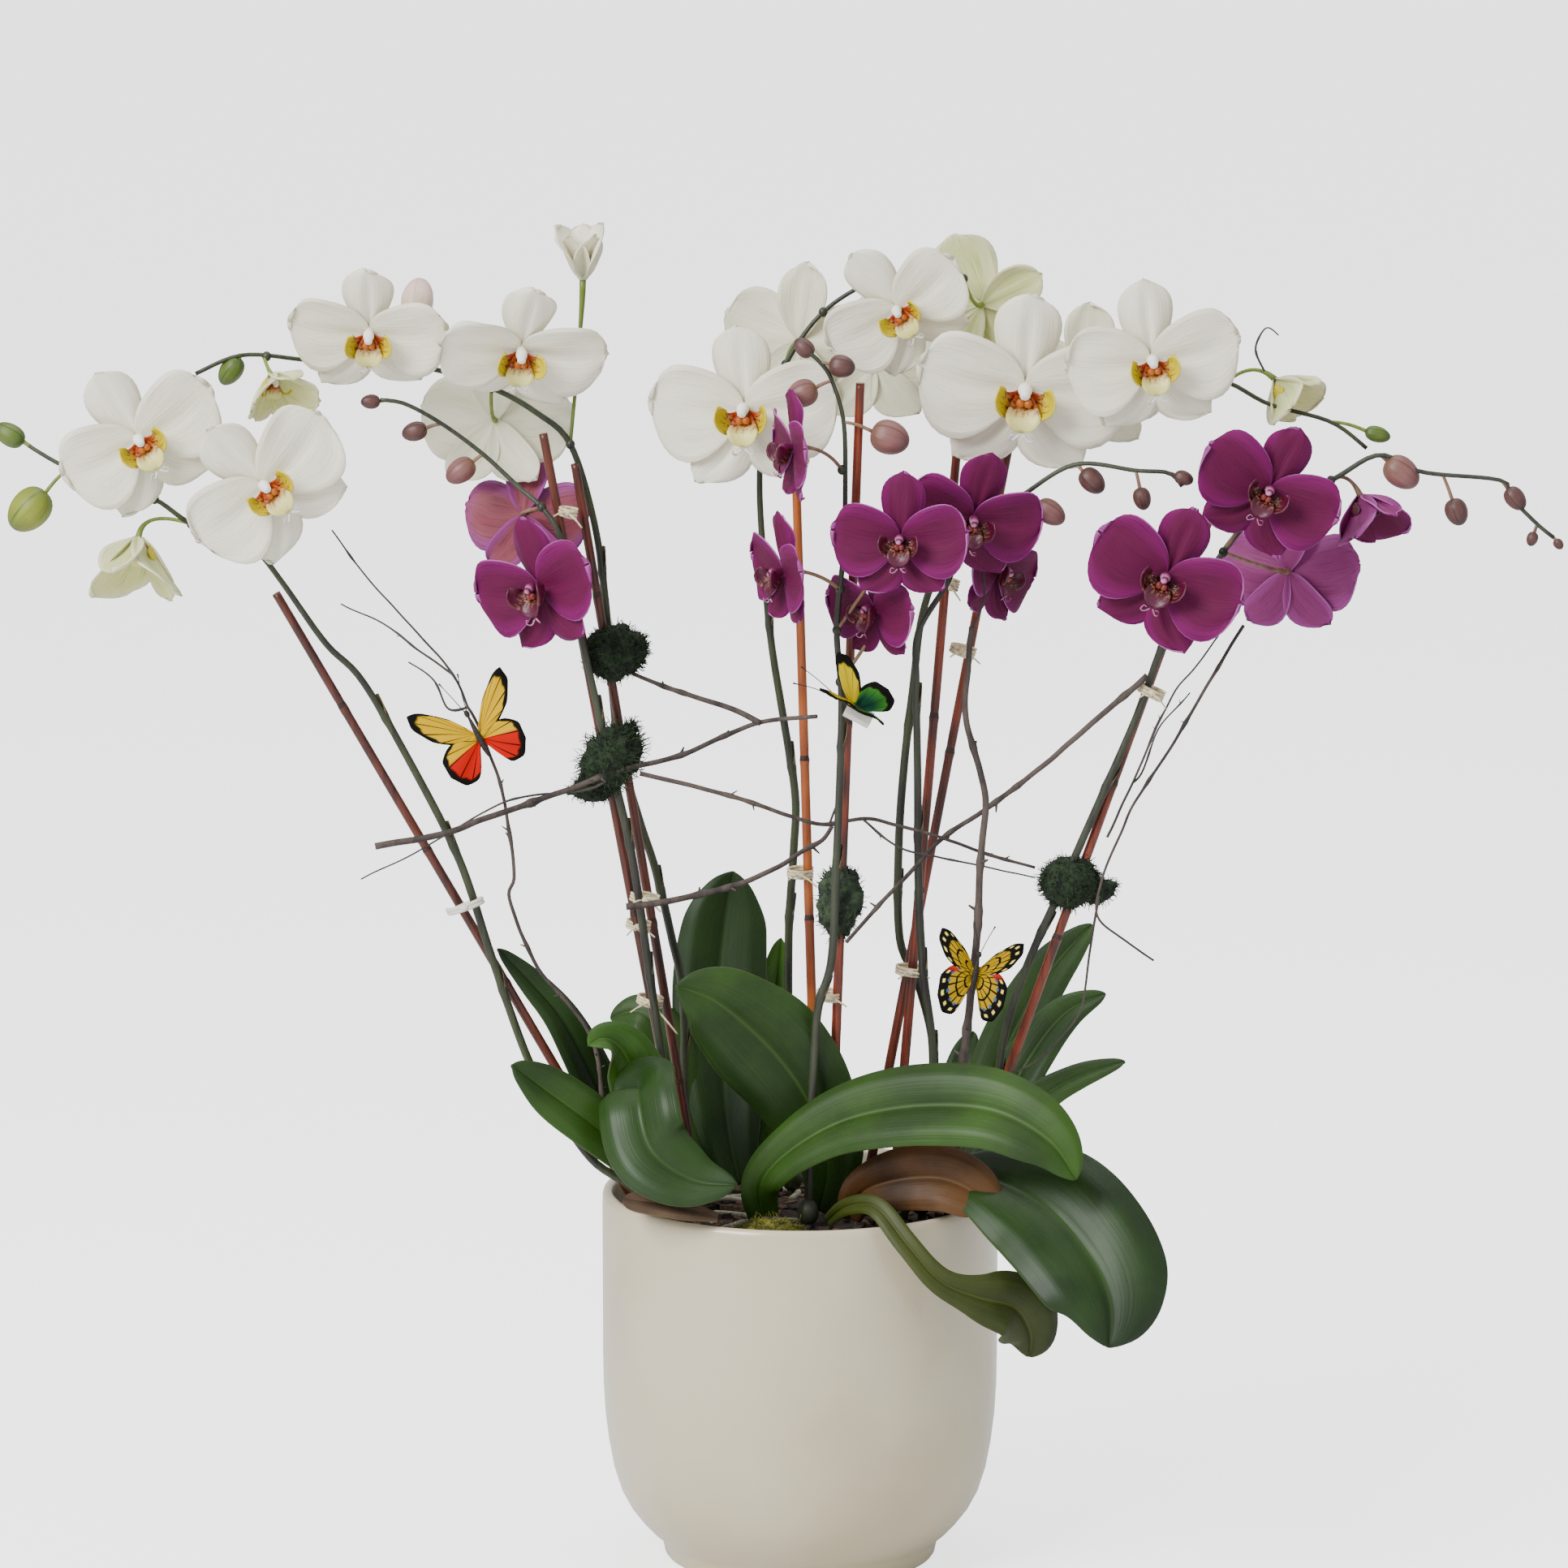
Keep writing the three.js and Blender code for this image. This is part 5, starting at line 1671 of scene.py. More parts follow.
SPIKES = (
    Spike(
        node="spike_white_left", crown=(-94, -30),
        stem=(
            (-86, -34, 190), (-94, -30, 222), (-106, -26, 240), (-128, -25, 256), (-148, -27, 285),
            (-167, -31, 320), (-189, -38, 386), (-208, -42, 447), (-235, -46, 504), (-266, -50, 560),
            (-288, -54, 584), (-313, -58, 621), (-328, -60, 641), (-344, -60, 652), (-368, -60, 658),
            (-390, -60, 673), (-415, -58, 680), (-442, -56, 691), (-464, -52, 703), (-476, -48, 712),
        ),
        blooms=(
            Bloom(
                "flower_white_1", start=(-390, -60, 673), at=(-398, -72, 711), yaw=10, pitch=-5, roll=32,
                width=98, node="bloom_white_1",
            ),
            Bloom(
                "flower_white_2", start=(-328, -60, 641), at=(-322, -86, 685), yaw=12, pitch=-5, roll=44,
                width=100, node="bloom_white_2",
            ),
            Bloom(
                "flower_white_hanging", start=(-368, -60, 658), at=(-400, -64, 649), yaw=-10, pitch=-62,
                roll=10, width=84, spread=38, kind=BloomKind.GREENISH,
            ),
        ),
        buds=(
            Bud(start=(-442, -56, 691), at=(-466, -58, 666), radius=12, length=15),
            Bud(start=(-464, -52, 703), at=(-478, -50, 711), radius=7, length=10),
        ),
    ),
    Spike(
        node="spike_white_centre_left", crown=(-70, 36),
        stem=(
            (-70, 36, 190), (-72, 35, 260), (-73, 34, 346), (-80, 30, 386), (-90, 27, 430),
            (-99, 24, 459), (-111, 21, 503), (-116, 19, 544), (-120, 18, 600), (-127, 17, 650),
            (-141, 14, 697), (-161, 14, 716), (-189, 12, 732), (-231, 10, 745), (-271, 10, 745),
            (-306, 8, 750), (-341, 4, 753), (-369, 0, 742),
        ),
        blooms=(
            Bloom(
                "flower_white_3", start=(-271, 10, 745), at=(-262, -16, 770), pitch=-28, width=94,
                node="bloom_white_3",
            ),
            Bloom(
                "flower_white_4", start=(-189, 12, 732), at=(-170, -14, 759), yaw=5, pitch=-32, roll=-6,
                width=98, node="bloom_white_4",
            ),
            Bloom(
                "flower_white_behind_left", start=(-189, 12, 732), at=(-187, 34, 709), yaw=170, pitch=-10,
                width=92,
            ),
            Bloom(
                "flower_white_topmost", start=(-141, 14, 697), at=(-133, 20, 799), pitch=80, width=66,
                spread=22, lip=False,
            ),
            Bloom(
                "flower_white_greenish_left", start=(-326, 6, 752), at=(-322, -6, 741), yaw=30, pitch=-40,
                width=62, spread=42, kind=BloomKind.GREENISH,
            ),
        ),
        buds=(
            Bud(start=(-341, 4, 753), at=(-348, 6, 743), radius=7, length=10),
            Bud(start=(-241, 10, 745), at=(-235, 36, 784), radius=10, length=14, finish="blush_bud"),
        ),
    ),
    Spike(
        node="spike_white_centre_right", crown=(-5, 45),
        stem=(
            (-5, 45, 190), (-6, 44, 260), (-7, 42, 308), (-7, 38, 387), (-4, 35, 439), (-3, 32, 475),
            (-10, 30, 522), (-18, 28, 573), (-23, 26, 629), (-25, 24, 674), (-22, 22, 710), (-9, 24, 745),
            (14, 26, 777), (47, 26, 797), (81, 28, 802), (100, 30, 797),
        ),
        blooms=(
            Bloom(
                "flower_white_5", start=(-22, 22, 710), at=(-34, -4, 721), yaw=-8, pitch=-5, roll=3,
                width=108, node="bloom_white_5",
            ),
            Bloom(
                "flower_white_6", start=(47, 26, 797), at=(59, -8, 783), pitch=-15, roll=36, width=88,
                node="bloom_white_6",
            ),
            Bloom(
                "flower_white_behind_centre", start=(-9, 24, 745), at=(0, 58, 756), yaw=160, roll=8,
                width=96,
            ),
            Bloom(
                "flower_white_behind_top", start=(14, 26, 777), at=(46, 54, 744), yaw=170, pitch=-15,
                width=88,
            ),
            Bloom(
                "flower_white_turned_back", start=(100, 30, 797), at=(112, 46, 780), yaw=165, pitch=10,
                roll=60, width=84, kind=BloomKind.GREENISH,
            ),
        ),
        buds=(),
    ),
    Spike(
        node="spike_white_right", crown=(84, 28),
        stem=(
            (84, 28, 190), (84, 27, 260), (83, 26, 317), (73, 24, 359), (62, 23, 386), (61, 22, 441),
            (64, 20, 493), (70, 18, 549), (75, 16, 590), (87, 14, 625), (114, 12, 676), (130, 14, 698),
            (156, 16, 720), (201, 12, 732), (235, 6, 738), (260, 0, 737), (286, -6, 724), (323, -12, 714),
            (345, -14, 698),
        ),
        blooms=(
            Bloom(
                "flower_white_7", start=(130, 14, 698), at=(136, -22, 736), pitch=-12, roll=-5, width=122,
                node="bloom_white_7",
            ),
            Bloom(
                "flower_white_8", start=(201, 12, 732), at=(212, -38, 755), yaw=5, pitch=-8, roll=8,
                width=100, node="bloom_white_8",
            ),
            Bloom(
                "flower_white_behind_right", start=(156, 16, 720), at=(179, 40, 734), yaw=175, width=94,
            ),
            Bloom(
                "flower_white_greenish_right", start=(260, 0, 737), at=(291, 6, 737), yaw=60, pitch=-40,
                width=60, spread=38, kind=BloomKind.GREENISH,
            ),
        ),
        buds=(Bud(start=(323, -12, 714), at=(352, -10, 706), radius=5, length=8),),
    ),
    Spike(
        node="spike_purple_left", crown=(-73, -19),
        stem=(
            (-72, -20, 190), (-75, -17, 260), (-84, -15, 310), (-93, -14, 372), (-103, -15, 443),
            (-114, -16, 494), (-121, -16, 524), (-131, -16, 569), (-140, -15, 609), (-147, -13, 644),
            (-158, -8, 661), (-172, 0, 672), (-194, 4, 692), (-219, 2, 711), (-241, -4, 724),
            (-256, -8, 727),
        ),
        blooms=(
            Bloom(
                "flower_purple_1", start=(-140, -15, 609), at=(-159, -48, 618), yaw=-38, pitch=-8,
                roll=15, width=88, node="bloom_purple_1",
            ),
            Bloom(
                "flower_purple_turned_back_left", start=(-158, -8, 661), at=(-170, 20, 652), yaw=165,
                pitch=-12, width=78, spread=76, kind=BloomKind.ROSE,
            ),
        ),
        buds=(
            Bud(start=(-194, 4, 692), at=(-208, 2, 682), radius=7.5, length=10),
            Bud(start=(-219, 2, 711), at=(-236, 4, 706), radius=6, length=8),
            Bud(start=(-250, -6, 726), at=(-262, -9, 726), radius=4.5, length=6),
        ),
    ),
    Spike(
        node="spike_purple_centre_left", crown=(5, -48),
        stem=(
            (5, -48, 190), (6, -49, 260), (8, -50, 317), (11, -51, 358), (19, -52, 388), (22, -53, 448),
            (25, -53, 545), (22, -53, 592), (26, -54, 640), (27, -54, 680), (26, -54, 719),
            (19, -54, 744), (12, -54, 755), (3, -56, 763),
        ),
        blooms=(
            Bloom(
                "flower_purple_2", start=(22, -53, 592), at=(60, -92, 653), yaw=-8, width=80,
                node="bloom_purple_2",
            ),
            Bloom(
                "flower_purple_side_upper", start=(25, -54, 690), at=(-5, -66, 705), yaw=-75, pitch=-5,
                width=72,
            ),
            Bloom(
                "flower_purple_side_lower", start=(24, -53, 617), at=(-11, -70, 630), yaw=-65, pitch=-5,
                width=74,
            ),
            Bloom(
                "flower_purple_behind_stake", start=(24, -52, 560), at=(44, -58, 606), yaw=-50, pitch=-5,
                width=70,
            ),
        ),
        buds=(
            Bud(start=(26, -54, 719), at=(54, -58, 710), radius=10.5, length=12),
            Bud(start=(19, -54, 744), at=(1, -52, 736), radius=8.5, length=9.5),
            Bud(start=(12, -54, 755), at=(25, -56, 753), radius=7, length=8),
            Bud(start=(12, -54, 755), at=(2, -52, 764), radius=5.5, length=7),
        ),
    ),
    Spike(
        node="spike_purple_centre_right", crown=(75, -21),
        stem=(
            (72, -24, 190), (79, -17, 255), (82, -14, 320), (76, -14, 372), (73, -14, 422),
            (72, -14, 499), (71, -16, 554), (72, -18, 585), (89, -22, 615), (98, -24, 636),
            (113, -24, 653), (136, -30, 672), (167, -36, 691), (203, -42, 688), (223, -46, 687),
            (231, -48, 679),
        ),
        blooms=(
            Bloom(
                "flower_purple_3", start=(98, -24, 636), at=(104, -56, 661), yaw=5, pitch=-15, roll=-12,
                width=84, node="bloom_purple_3",
            ),
            Bloom(
                "flower_purple_facing_right", start=(98, -24, 636), at=(122, -8, 622), yaw=55, pitch=-10,
                roll=-20, width=72,
            ),
        ),
        buds=(
            Bud(start=(136, -30, 672), at=(152, -32, 661), radius=7.5, length=10),
            Bud(start=(167, -36, 691), at=(177, -38, 681), radius=7, length=9),
            Bud(start=(203, -42, 688), at=(207, -44, 671), radius=5.5, length=7),
            Bud(start=(223, -46, 687), at=(232, -47, 684), radius=4.5, length=6),
        ),
    ),
    Spike(
        node="spike_purple_right", crown=(104, -2),
        stem=(
            (102, 0, 190), (107, -2, 240), (120, -5, 267), (125, -8, 324), (138, -12, 371),
            (157, -18, 418), (174, -22, 459), (205, -30, 534), (220, -36, 578), (235, -38, 600),
            (257, -34, 637), (279, -22, 658), (323, -20, 679), (352, -22, 695), (378, -26, 685),
            (425, -34, 681), (431, -36, 671), (447, -40, 655), (457, -42, 647),
        ),
        blooms=(
            Bloom(
                "flower_purple_4", start=(220, -36, 578), at=(220, -72, 627), yaw=-5, roll=-25, width=94,
                node="bloom_purple_4",
            ),
            Bloom(
                "flower_purple_5", start=(257, -34, 637), at=(283, -50, 677), roll=-28, width=86,
                node="bloom_purple_5",
            ),
            Bloom(
                "flower_purple_turned_back_right", start=(257, -34, 637), at=(301, 14, 618), yaw=155,
                pitch=-5, width=84,
            ),
            Bloom(
                "flower_purple_opening", start=(323, -20, 679), at=(342, -14, 668), yaw=40, pitch=-55,
                width=66, spread=42,
            ),
        ),
        buds=(
            Bud(start=(352, -22, 695), at=(366, -22, 684), radius=9.5, length=12),
            Bud(start=(390, -28, 684), at=(399, -30, 661), radius=7, length=8.5),
            Bud(start=(425, -34, 681), at=(434, -36, 670), radius=6, length=8),
            Bud(start=(447, -40, 655), at=(444, -41, 646), radius=3.6, length=4.5),
            Bud(start=(457, -42, 647), at=(460, -42, 643), radius=3, length=3.6),
        ),
    ),
)
STAKES = {
    "stake_1": ((-82, -8, 190), (-318, -50, 614)),
    "stake_2": ((-62, -6, 190), (-157, -6, 706)),
    "stake_3": ((-58, 19, 190), (-138, 6, 686)),
    "stake_4": ((12, 14, 190), (-3, 12, 691)),
    "stake_5": ((17, -24, 190), (36, -48, 742)),
    "stake_6": ((55, 3, 190), (99, 0, 737)),
    "stake_7": ((33, 2, 190), (129, 34, 696)),
    "stake_8": ((87, -11, 190), (256, -24, 676)),
}
TWIGS = {
    "twig_left": (
        Branch(
            1.4,
            (
                (-92, -46, 200), (-101, -42, 238), (-118, -38, 266), (-128, -36, 335), (-161, -36, 380),
                (-178, -36, 422), (-175, -36, 437), (-179, -38, 470), (-184, -38, 497), (-197, -38, 532),
                (-203, -38, 543),
            ),
        ),
        Branch(
            0.8,
            ((-202, -38, 541), (-212, -38, 563), (-233, -40, 588), (-263, -44, 623), (-284, -46, 652)),
        ),
        Branch(0.8, ((-211, -38, 562), (-233, -36, 577), (-251, -34, 591), (-280, -32, 605))),
        Branch(0.8, ((-202, -38, 542), (-215, -36, 541), (-224, -34, 558), (-239, -32, 569))),
    ),
    "twig_cross": (
        Branch(
            2,
            (
                (-259, -60, 460), (-229, -58, 465), (-211, -56, 469), (-181, -48, 479), (-142, -36, 491),
                (-112, -30, 501), (-74, -24, 510), (-43, -20, 523), (-22, -24, 531), (10, -42, 537),
            ),
        ),
        Branch(1.8, ((-24, -24, 530), (-46, -16, 539), (-82, -6, 549), (-104, 2, 557))),
        Branch(
            0.8,
            (
                (-112, -30, 501), (-125, -32, 492), (-145, -36, 489), (-180, -40, 484), (-232, -50, 456),
                (-268, -52, 438),
            ),
        ),
    ),
    "twig_low": (
        Branch(
            1.4,
            (
                (-98, -34, 500), (-74, -34, 495), (-36, -32, 484), (-6, -28, 473), (16, -24, 467),
                (40, -16, 469), (60, -32, 468), (85, -34, 461), (112, -26, 450), (144, -20, 439),
            ),
        ),
        Branch(0.8, ((38, -17, 469), (60, -34, 455), (85, -38, 449), (112, -34, 443), (144, -26, 434))),
    ),
    "twig_tie": (
        Branch(
            2,
            (
                (-107, -26, 416), (-82, -24, 419), (-43, -18, 427), (-18, -12, 436), (2, -2, 447),
                (14, 2, 453), (20, 4, 461),
            ),
        ),
    ),
    "twig_diagonal": (
        Branch(
            1.8,
            (
                (211, -40, 562), (164, -34, 519), (132, -30, 491), (115, -28, 478), (87, -28, 459),
                (56, -42, 428), (28, -62, 401),
            ),
        ),
    ),
    "twig_upright": (
        Branch(
            2.7,
            (
                (88, -44, 200), (95, -40, 260), (101, -40, 330), (107, -40, 387), (109, -44, 414),
                (110, -46, 446), (113, -46, 482), (110, -46, 503), (105, -44, 519), (100, -42, 542),
                (102, -40, 566), (104, -40, 592),
            ),
        ),
    ),
    "twig_right": (
        Branch(
            1,
            (
                (269, -46, 594), (252, -44, 564), (225, -40, 516), (205, -38, 484), (193, -34, 456),
                (184, -32, 432), (182, -32, 412), (195, -32, 399), (217, -34, 384),
            ),
        ),
        Branch(
            0.8, ((183, -32, 424), (178, -30, 390), (172, -26, 350), (150, -22, 322), (134, -24, 312)),
        ),
    ),
}
LEAVES = (
    Leaf(
        node="leaf_back_tall",
        spine=(
            (-38, 48, 224), (-46, 58, 262), (-49, 74, 308), (-50, 86, 352), (-47, 92, 388),
            (-42, 94, 416),
        ),
        widths=(22, 40, 54, 60, 60, 54, 40), face=(0, -1, 0.15),
    ),
    Leaf(
        node="leaf_centre_broad",
        spine=(
            (12, -28, 224), (18, -32, 250), (15, -36, 274), (-2, -38, 307), (-27, -44, 338),
            (-53, -52, 363), (-76, -58, 373),
        ),
        widths=(22, 42, 58, 68, 70, 54, 12), face=(-0.3, -1, 0.25), fold=0.1,
    ),
    Leaf(
        node="leaf_front_bright",
        spine=(
            (-22, -52, 226), (-24, -62, 250), (-6, -68, 272), (28, -78, 294), (72, -96, 307),
            (116, -116, 308), (150, -132, 292), (166, -140, 270),
        ),
        widths=(20, 30, 40, 50, 54, 54, 46, 32), face=(0, -0.8, 0.7), face_end=(0, -1, 0.55),
    ),
    Leaf(
        node="leaf_front_right",
        spine=(
            (58, -38, 225), (78, -50, 246), (112, -72, 256), (148, -104, 246), (175, -132, 220),
            (187, -148, 194), (186, -156, 170),
        ),
        widths=(26, 44, 64, 82, 88, 82, 56), face=(0.3, -0.5, 1), face_end=(0.2, -1, 0.3),
    ),
    Leaf(
        node="leaf_rim_twisted",
        spine=(
            (16, -76, 229), (28, -94, 243), (46, -112, 247), (64, -128, 228), (84, -137, 207),
            (108, -136, 196), (130, -128, 188), (140, -121, 170), (139, -117, 154),
        ),
        widths=(8, 12, 14, 15, 16, 22, 40, 46, 34), face=(0.1, -1, 0.5),
    ),
    Leaf(
        node="leaf_underside",
        spine=(
            (30, -56, 226), (38, -68, 246), (60, -80, 257), (86, -88, 259), (108, -94, 250),
            (122, -97, 238),
        ),
        widths=(16, 28, 38, 42, 38, 22), face=(0.2, -1, 0.3),
    ),
    Leaf(
        node="leaf_left_front",
        spine=(
            (-74, -40, 224), (-90, -52, 280), (-98, -72, 312), (-99, -92, 306), (-90, -106, 280),
            (-64, -112, 264), (-38, -116, 262),
        ),
        widths=(22, 34, 46, 52, 54, 44, 10), face=(-0.4, -0.7, 0.6),
    ),
    Leaf(
        node="leaf_left_light",
        spine=((-84, 4, 224), (-92, -12, 280), (-106, -38, 322), (-118, -50, 338), (-130, -58, 336)),
        widths=(18, 32, 42, 38, 10), face=(-0.2, -0.8, 0.8),
    ),
    Leaf(
        node="leaf_left_back",
        spine=((-64, 52, 224), (-76, 60, 280), (-86, 64, 314), (-100, 70, 330), (-120, 76, 325)),
        widths=(18, 30, 38, 34, 8), face=(0.2, -0.8, 0.7),
    ),
    Leaf(
        node="leaf_left_slim",
        spine=(
            (-90, 12, 224), (-112, 4, 262), (-126, -8, 300), (-146, -16, 342), (-166, -22, 368),
            (-186, -26, 390),
        ),
        widths=(16, 26, 32, 30, 22, 6), face=(0.6, -0.8, 0.3),
    ),
    Leaf(
        node="leaf_left_low",
        spine=((-76, -46, 224), (-90, -54, 252), (-126, -68, 288), (-156, -72, 312), (-176, -78, 328)),
        widths=(16, 28, 36, 36, 14), face=(0.4, -0.8, 0.5),
    ),
    Leaf(
        node="leaf_dry", spine=((-50, -110, 240), (-68, -112, 245), (-88, -104, 248), (-108, -86, 247)),
        widths=(8, 20, 22, 6), face=(-0.3, -0.6, 1),
    ),
    Leaf(
        node="leaf_right_tall",
        spine=((92, 34, 224), (108, 46, 258), (134, 76, 314), (158, 102, 350), (186, 122, 377)),
        widths=(18, 32, 40, 34, 8), face=(-0.3, -0.8, 0.5),
    ),
    Leaf(
        node="leaf_right_middle",
        spine=((98, 14, 224), (112, 18, 254), (142, 32, 306), (166, 48, 334), (192, 58, 345)),
        widths=(16, 28, 34, 30, 6), face=(-0.2, -0.7, 0.8),
    ),
    Leaf(
        node="leaf_right_low",
        spine=((92, -28, 224), (110, -24, 252), (144, -10, 288), (172, -2, 304), (202, 4, 313)),
        widths=(14, 24, 28, 22, 5), face=(0, -0.7, 1),
    ),
)


# ------------------------------------------------------------------------------ the arrangement


LEAF_SKINS = {
    "leaf_back_tall": ("leaf_dark", "leaf_under"),
    "leaf_centre_broad": ("leaf", "leaf_under"),
    "leaf_front_bright": ("leaf_bright", "leaf_under"),
    "leaf_front_right": ("leaf_dark", "leaf_under"),
    "leaf_rim_twisted": ("leaf_olive", "leaf_under"),
    "leaf_underside": ("leaf_copper", "leaf_copper"),
    "leaf_left_light": ("leaf_light", "leaf_under"),
    "leaf_left_front": ("leaf_dark", "leaf_under"),
    "leaf_dry": ("leaf_dry", "leaf_dry"),
    "leaf_left_slim": ("leaf_dark", "leaf_under"),
}
STAKE_SKINS = {
    "stake_1": "dark_stake",
    "stake_2": "dark_stake",
    "stake_3": "dark_stake",
    "stake_4": "pale_stake",
}
LEAF_SLOTS = {
    "leaf_rim_twisted": "olive_leaf",
    "leaf_left_slim": "olive_leaf",
    "leaf_left_low": "olive_leaf",
    "leaf_underside": "copper_leaf",
    "leaf_dry": "dry_leaf",
}
EXTRA_LEAVES = (
    Leaf(
        "leaf_back_tall", ((-28, 70, 222), (-21, 90, 304), (-16, 100, 341), (-12, 105, 371)),
        (14, 26, 24, 5), (0, -1, 0.3), skins=("leaf_light", "leaf_under"), name="foliage_back_slim",
    ),
    Leaf(
        "leaf_right_tall", ((84, 60, 222), (100, 80, 286), (110, 95, 313)), (14, 24, 6), (-0.2, -1, 0.3),
        skins=("leaf_dark", "leaf_under"), name="foliage_right_slim",
    ),
)
TUFTS = (
    Tuft("tuft_upper", (-114, 6, 569), (1, 0, 0.1), 18.5, 20, ("moss_tuft_upper",)),
    Tuft("tuft_middle", (-116, -18, 507), (0.7, 0, 1), 18, 24, ("moss_tuft_middle",), strand=7.5),
    Tuft("tuft_right", (165, -18, 430), (1, 0, 0.2), 17.5, 19, ("moss_tuft_right",)),
    Tuft(
        "tuft_centre", (24, -34, 421), (0.1, 0, 1), 15, 25, strands=520, skins=("grey_moss", "grey_moss"),
    ),
    Tuft("tuft_left_fringe", (-128, -16, 488), (1, 0, 0.1), 10, 14, strands=260),
    Tuft("tuft_right_fringe", (184, -16, 424), (1, 0, 0.3), 8.5, 11, strands=220),
    Tuft(
        "moss_on_rim", (-19, -98, 228), (1, 0, 0), 9.5, 21, ("rim_moss",), strands=420, strand=6.0,
        skins=("rim_moss", "rim_moss"), slot="rim_moss", floor=219.0,
    ),
)
BUTTERFLIES = (
    Butterfly("butterfly_left", (-196, -46, 526), -6, 10, 29, 72, 18, WingStyle.SUNSET),
    Butterfly("butterfly_centre", (32, -64, 546), 20, 35, 55, 60, 58, WingStyle.MEADOW, 0.42, block=True),
    Butterfly("butterfly_right", (107, -54, 380), 0, 12, -11, 56, 16, WingStyle.LATTICE, tail=1.45),
)
TIES = (
    Tie("tie_stem_left_top", (-142, -8, 658), (0.2, 0, 1)),
    Tie("clip_stem_left", (-146, -8, 604), (0.2, 0, 1), turns=1.5, clip=True),
    Tie("clip_far_left", (-205, -44, 420), (-0.4, 0, 1), (11.0, 6.0), turns=1.5, clip=True),
    Tie("tie_left_low", (-96, -8, 418), (0.2, 0, 1), (8.5, 6.0)),
    Tie("tie_left_tail", (-93, 0, 352), (0.2, 0, 1), (7.5, 8.0), tails=(26.0, 14.0)),
    Tie("tie_left_middle", (-100, -2, 400), (0.2, 0, 1), (7.0, 6.0)),
    Tie("tie_centre_top", (30, -50, 652), (0.05, 0, 1), (7.0, 5.0)),
    Tie("tie_right_top", (90, 6, 612), (0.25, 0, 1), (7.0, 6.5)),
    Tie("tie_right_middle", (100, 8, 570), (0.3, 0, 1), (7.5, 6.5)),
    Tie("tie_far_right", (214, -33, 551), (0.45, 0, 1), (8.0, 6.0)),
    Tie("tie_right_low", (68, -4, 372), (0.1, 0, 1), (8.5, 7.0)),
    Tie("tie_centre_low", (17, -32, 362), (0.1, 0, 1), (6.5, 8.5)),
    Tie("tie_centre_left", (0, 14, 430), (0, 0, 1), (7.5, 8.0)),
)
FINE_TWIGS = (
    Twig(
        "tendril_right", (Branch(0.7, ((283, -4, 744), (277, -6, 758), (283, -8, 771), (291, -8, 766))),),
    ),
    Twig(
        "fine_twig_right",
        (
            Branch(
                0.8,
                ((188, -34, 461), (202, -36, 493), (225, -38, 546), (240, -38, 566), (255, -38, 586)),
            ),
            Branch(0.7, ((203, -36, 495), (209, -34, 502), (220, -32, 529), (238, -30, 550))),
        ),
    ),
    Twig(
        "fine_twig_centre",
        (
            Branch(0.7, ((18, -22, 466), (28, -34, 500), (24, -44, 532), (34, -50, 560))),
            Branch(0.7, ((104, -40, 590), (112, -38, 612), (108, -36, 640))),
        ),
    ),
)


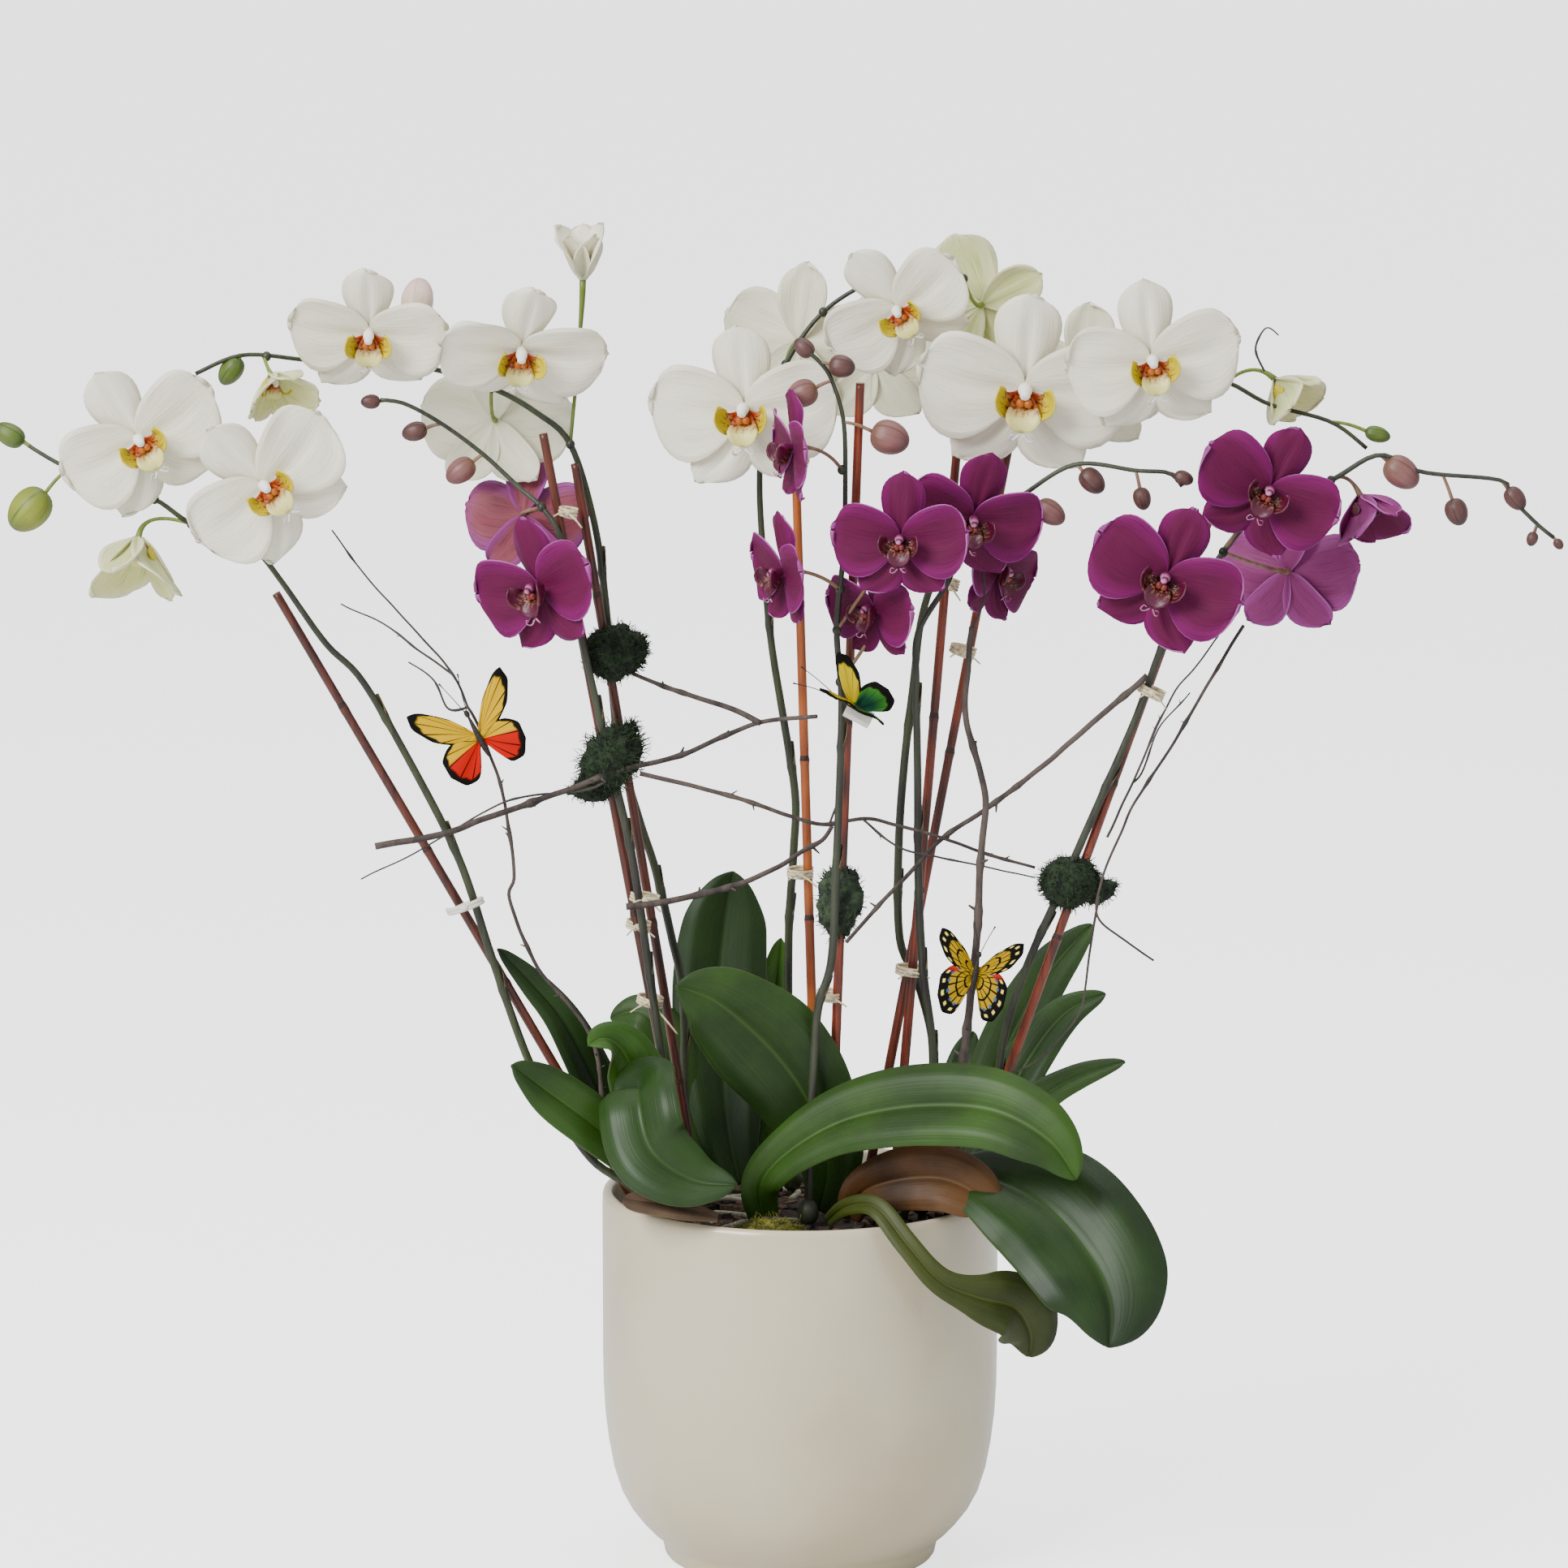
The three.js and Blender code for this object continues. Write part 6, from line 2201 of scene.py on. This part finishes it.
@dataclass
class Studio:
    """The camera, the pale floor and the soft lights."""

    target: Point = (-10.0, 0.0, 488.0)
    distance: float = 4500.0
    elevation: float = 9.85
    lens: float = 167.7
    floor_size: float = 60.0
    glow: float = 1.9
    lamps: dict[str, tuple[Point, float, float]] = field(
        default_factory=lambda: {
            "key": ((-2.1, -2.3, 2.6), 1.8, 190.0),
            "fill": ((2.6, -2.6, 1.5), 2.6, 14.0),
            "top": ((0.2, 0.6, 3.2), 2.0, 40.0),
        }
    )

    def camera(self) -> None:
        """Places the camera."""
        lens = bpy.data.cameras.new("camera")
        lens.lens = self.lens
        lens.sensor_width = 36.0
        lens.clip_end = 200.0
        made = bpy.data.objects.new("camera", lens)
        rise = math.radians(self.elevation)
        target = Vector(self.target) * MM
        made.location = target + Vector((0.0, -math.cos(rise), math.sin(rise))) * self.distance * MM
        made.rotation_euler = (math.pi / 2 - rise, 0.0, 0.0)
        bpy.context.scene.collection.objects.link(made)
        bpy.context.scene.camera = made

    def floor(self) -> None:
        """Makes the floor."""
        bm = bmesh.new()
        bmesh.ops.create_grid(bm, x_segments=2, y_segments=2, size=self.floor_size / 2)
        mesh = bpy.data.meshes.new("floor")
        bm.to_mesh(mesh)
        bm.free()
        weave = Weave("floor", 0.85)
        seen = weave.node("ShaderNodeLightPath").outputs["Is Camera Ray"]
        weave.put(weave.shader.inputs["Emission Color"], tint("ffffff"))
        weave.put(weave.shader.inputs["Emission Strength"], weave.times(seen, self.glow))
        mesh.materials.append(weave.finish("e6e6e6"))
        made = bpy.data.objects.new("floor", mesh)
        bpy.context.scene.collection.objects.link(made)

    def light(self) -> None:
        """Places the lamps and the even surroundings."""
        for name, (at, size, power) in self.lamps.items():
            lamp = bpy.data.lights.new(name, "AREA")
            lamp.size = size
            lamp.energy = power
            made = bpy.data.objects.new(name, lamp)
            made.location = at
            aim = Vector(self.target) * MM - Vector(at)
            made.rotation_euler = aim.to_track_quat("-Z", "Y").to_euler()
            bpy.context.scene.collection.objects.link(made)
        world = bpy.data.worlds.new("surroundings")
        world.use_nodes = True
        back = world.node_tree.nodes["Background"]
        back.inputs["Color"].default_value = tint("f4f6fa")
        back.inputs["Strength"].default_value = 0.85
        bpy.context.scene.world = world

    def build(self) -> None:
        """Sets the studio up."""
        self.camera()
        self.floor()
        self.light()
        log.info("studio ready")


def main() -> None:
    """Builds the arrangement, piece by piece."""
    logging.basicConfig(level=logging.INFO, format="%(message)s")
    noise.seed_set(NOISE_SEED)
    Studio().build()
    palette = Palette()
    Pot().build(palette)
    mix = PottingMix()
    mix.bed(palette)
    mix.litter(palette, 11)
    for index, spike in enumerate(SPIKES):
        spike.build(palette, 31 + index)
    for node, ends in STAKES.items():
        Stake(node, ends, STAKE_SKINS.get(node, "stake")).build(palette)
    for index, (node, branches) in enumerate(TWIGS.items()):
        Twig(node.replace("twig", "dry_twig"), branches, (node,)).build(palette, 60 + index)
    for index, twig in enumerate(FINE_TWIGS):
        twig.build(palette, 80 + index)
    for index, leaf in enumerate(LEAVES):
        skins = LEAF_SKINS.get(leaf.node, leaf.skins)
        slot = LEAF_SLOTS.get(leaf.node, leaf.slot)
        replace(leaf, skins=skins, slot=slot).build(palette, 100 + index)
    for index, leaf in enumerate(EXTRA_LEAVES):
        leaf.build(palette, 130 + index)
    for index, tuft in enumerate(TUFTS):
        tuft.build(palette, 140 + index)
    for butterfly in BUTTERFLIES:
        butterfly.build(palette)
    for index, tie in enumerate(TIES):
        tie.build(palette, 160 + index)


if __name__ == "__main__":
    main()
